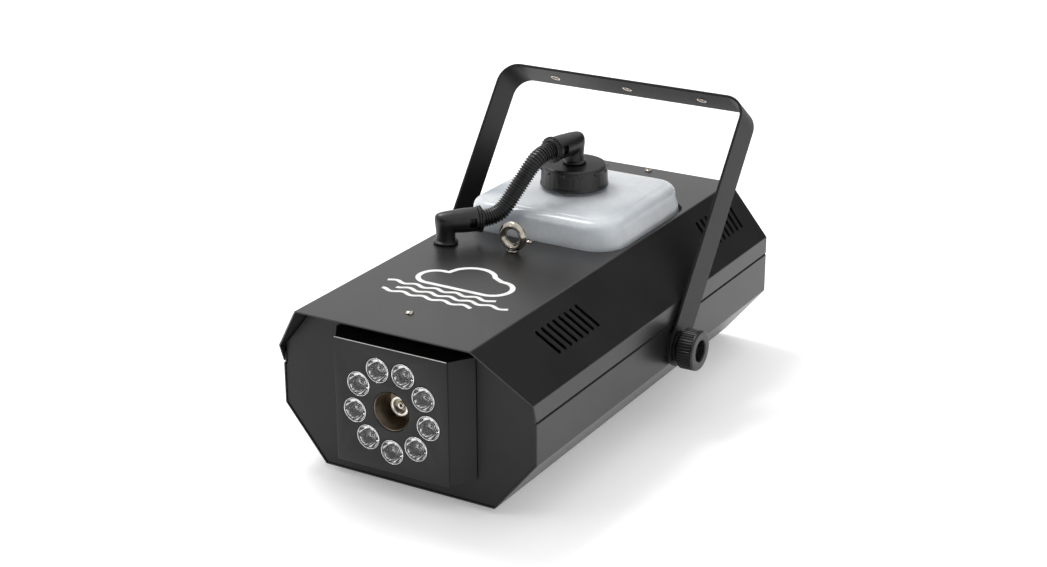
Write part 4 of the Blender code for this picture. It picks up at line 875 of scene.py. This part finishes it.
def pivots():
    """Knurled knobs, washers and friction discs on both sides."""
    pivot = place(0.0, PIVOT_Y, PIVOT_Z)
    for side, hand in ((1.0, "right"), (-1.0, "left")):
        axis = (side, 0.0, 0.0)
        knob = eased([
            (0.0, 0.1440), (
                0.0094, 0.1440,
            ), (0.0098, 0.1508), (0.0106, 0.1515), (0.0172, 0.1515), (0.0184, 0.1503),
            (0.0184, 0.1492), (0.0181, 0.1488), (0.0181, 0.1362), (0.0172, 0.1350), (0.0125, 0.1350),
            (0.0125, 0.1326), (0.0040, 0.1326), (0.0040, 0.1125), (0.0, 0.1120),
        ], 0.0004)

        def knurls(angle, height, radius):
            tooth = np.clip(np.abs(((angle * KNURLS / TAU) % 1.0) * 2 - 1) * 1.6 - 0.3, 0.0, 1.0)
            here = (radius > 0.0165) & (height > 0.1358) & (height < 0.1490)
            return np.where(here, 0.0005 - 0.0009 * tooth, 0.0)

        turned(
            f"knob_{hand}_grip", knob, pivot, axis, "nylon", f"knob_{hand}", (f"knob_{hand}",), 352, knurls,
            sharp=28.0,
        )
        washer = eased([(0.0140, 0.1323), (0.0140, 0.1303), (0.0043, 0.1303), (0.0043, 0.1323)], 0.0001)
        turned(
            f"washer_{hand}_steel", washer, pivot, axis, "nylon", f"washer_{hand}",
            (f"knob_washer_{hand}",), 64, None, True,
        )
        disc = [(0.0160, 0.1272), (0.0160, 0.1253), (0.0043, 0.1253), (0.0043, 0.1272)]
        turned(
            f"friction_disc_{hand}_rubber", disc, pivot, axis, "rubber", "housing",
            (f"friction_disc_{hand}",), 64, None, True,
        )


def eye_bolt():
    """The lifting eye: a ring of oval section with a raised lip on each face, on a collared shank."""
    centre = place(0.0, EYE_Y, TOP_Z + 0.0145)
    round_ring = np.arange(96) * TAU / 96
    section = np.arange(32) * TAU / 32
    wide, deep = 0.0032, 0.0037
    lip = 0.00030 * np.cos(section * 4.0)
    radial = (wide + lip) * np.cos(section)
    axial = (deep + lip) * np.sin(section)
    radius = 0.0101 + radial
    points = np.zeros((96, 32, 3))
    points[..., 0] = radius[None] * np.cos(round_ring)[:, None]
    points[..., 1] = axial[None]
    points[..., 2] = radius[None] * np.sin(round_ring)[:, None]
    points = np.concatenate([points, points[:1]]) + centre
    ring = solid_from("eye_ring", points, 97, 32)
    shank = turned_solid("eye_shank", eased([
        (0.0, 0.0062), (
            0.0030, 0.0052,
        ), (0.0030, 0.0024), (0.0044, 0.0020), (0.0048, 0.0012), (0.0048, GAP),
        (0.0030, GAP), (0.0030, -0.0135), (0.0, -0.0140),
    ], 0.0008), place(0.0, EYE_Y, TOP_Z), (0, 0, 1), 48)
    finished("eye_bolt_forged", carved(shank, [ring]), "nickel", "housing", ("eye_bolt",), 50.0)


def cover_screws():
    """Three pan-head screws with a cross recess."""
    for name, y in SCREW_PLACES:
        head = turned_solid(f"screw_{name}", eased([
            (0.0, 0.0023), (
                0.0016, 0.0022,
            ), (0.0031, 0.0014), (0.0036, 0.0006), (0.0036, GAP), (0.00175, GAP),
            (0.00175, -0.0090), (0.0, -0.0090),
        ], 0.0004), place(0.0, y, TOP_Z), (0, 0, 1), 40)
        top = place(0.0, y, TOP_Z + 0.0012)
        slots = [
            block(f"slot_{name}_{i}", top - np.array(size) / 2, top + np.array(size) / 2 + (0, 0, 0.002))
            for i, size in enumerate(((0.0034, 0.0007, 0.0004), (0.0007, 0.0034, 0.0004)))
        ]
        mesh = carved(head, (), slots)
        finished(
            f"cover_screw_{name}_head", mesh, "nickel", "housing", (f"cover_screw_{name}",), 35.0,
        )


def feet():
    """Rubber feet: turned pads with a rounded tread."""
    for number in range(1, 5):
        low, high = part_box(f"foot_{number}")
        spot = ((low[0] + high[0]) / 2, (low[1] + high[1]) / 2, 0.0)
        pad = eased([
            (0.0, 0.0101), (
                0.0022, 0.0101,
            ), (0.0034, 0.0076), (0.0025, 0.0074), (0.0025, 0.0057), (0.0096, 0.0057),
            (0.0100, 0.0045), (0.0100, 0.0), (0.0060, 0.0), (0.0052, 0.0006), (0.0, 0.0006),
        ], 0.0006)
        turned(
            f"foot_{number}_pad", pad, spot, (0, 0, 1), "rubber", "housing", (f"foot_{number}",), 48,
        )


def fog_pictogram():
    """A plain sign for fog, printed on the cover: a cloud's outline over three rows of waves.

    Each stroke is a flat band: a centre line with a half width square to it, 0.06 mm proud.
    """
    strokes = []
    lobes = [
        (-0.0300, 0.0, 0.0150, 265, 75), (
            -0.0040, 0.0130, 0.0220, 150, 28,
        ), (0.0270, 0.0010, 0.0165, 95, -85),
    ]
    outline = []
    for cx, cy, radius, first, last in lobes:
        turn = np.radians(np.linspace(first, last, 26))
        outline.append(np.stack([cx + radius * np.cos(turn), cy + radius * np.sin(turn)], axis=1))
    outline = np.concatenate(outline)
    strokes.append((np.concatenate([outline, outline[:1]]), 0.0023))
    for row, (left, right) in enumerate(((-0.062, 0.044), (-0.046, 0.062), (-0.056, 0.034))):
        run = np.linspace(left, right, 120)
        wave = -0.0245 - 0.0100 * row + 0.0018 * np.sin(run / 0.0200 * TAU)
        strokes.append((np.stack([run, wave], axis=1), 0.0019))
    points, faces = [], []
    lift = 0.00006
    for line, half in strokes:
        tangent = np.gradient(line, axis=0)
        tangent /= np.maximum(np.linalg.norm(tangent, axis=1, keepdims=True), 1e-9)
        side = np.stack([-tangent[:, 1], tangent[:, 0]], axis=1) * half
        edges = np.stack([line + side, line - side, line - side, line + side], axis=1)
        height = np.array([lift, lift, 0.0, 0.0])[None, :, None] + 0.00001
        rings = np.concatenate([edges, np.broadcast_to(height, (len(line), 4, 1))], axis=2)
        start = sum(len(p) for p in points)
        points.append(rings.reshape(-1, 3))
        faces += (grid_faces(len(line), 4, True) + start).tolist()
        faces += [
            [start, start + 1, start + 2, start + 3], [start + 4 * len(line) - k for k in (4, 3, 2, 1)],
        ]
    flat = np.concatenate(points) + place(0.004, 0.088, TOP_Z)
    mesh = bpy.data.meshes.new("fog_sign")
    mesh.from_pydata(flat.tolist(), [], faces)
    finished("fog_sign", mesh, "ink", "housing", (), 30.0)


KEPT_NODES = {
    "powder": ("base_tray", "top_cover", "rear_panel"),
    # The front panel and head box take the shaded copy of the coat: painted shade.
    "plate": ("front_panel", "head_box"),
    "board": ("led_board", "control_board"),
    "aluminium": ("heater_block", "power_supply"),
    "zinc": ("heater_bracket", "tank_bay"),
    "nylon": ("thermostat", "pump", "power_inlet", "fuse_drawer", "dmx_in", "dmx_out"),
    "clear_hose": ("suction_tube", "pressure_tube", "pickup_tube"),
    "display": ("display_module",),
    "rocker": ("power_rocker",),
    "rubber": ("menu_button_1", "menu_button_2", "menu_button_3", "menu_button_4"),
}


def paint_nodes():
    """Gives each node that stays its finish."""
    for finish, nodes in KEPT_NODES.items():
        for name in nodes:
            node = bpy.data.objects[name]
            node.data.materials.clear()
            node.data.materials.append(FINISH[finish])


FINISH = finishes()
aim_camera()
plain_tones()
studio()
feed_hose()
paint_nodes()
lens_plate()
for led_number, (led_x, led_z) in enumerate(lens_spots(), 1):
    led(led_number, led_x, led_z)
nozzle_and_cup()
fluid_tank()
tank_cap()
elbow("housing_elbow_moulding", HOUSING_ELBOW, "housing", "housing_elbow")
elbow("cap_elbow_moulding", CAP_ELBOW, "tank", "cap_elbow")
locking_ring("housing_hose_lock", *socket_end(HOUSING_ELBOW), "housing", "hose_ring_housing")
locking_ring("cap_hose_lock", *socket_end(CAP_ELBOW), "tank", "hose_ring_cap")
yoke()
pivots()
eye_bolt()
cover_screws()
feet()
fog_pictogram()
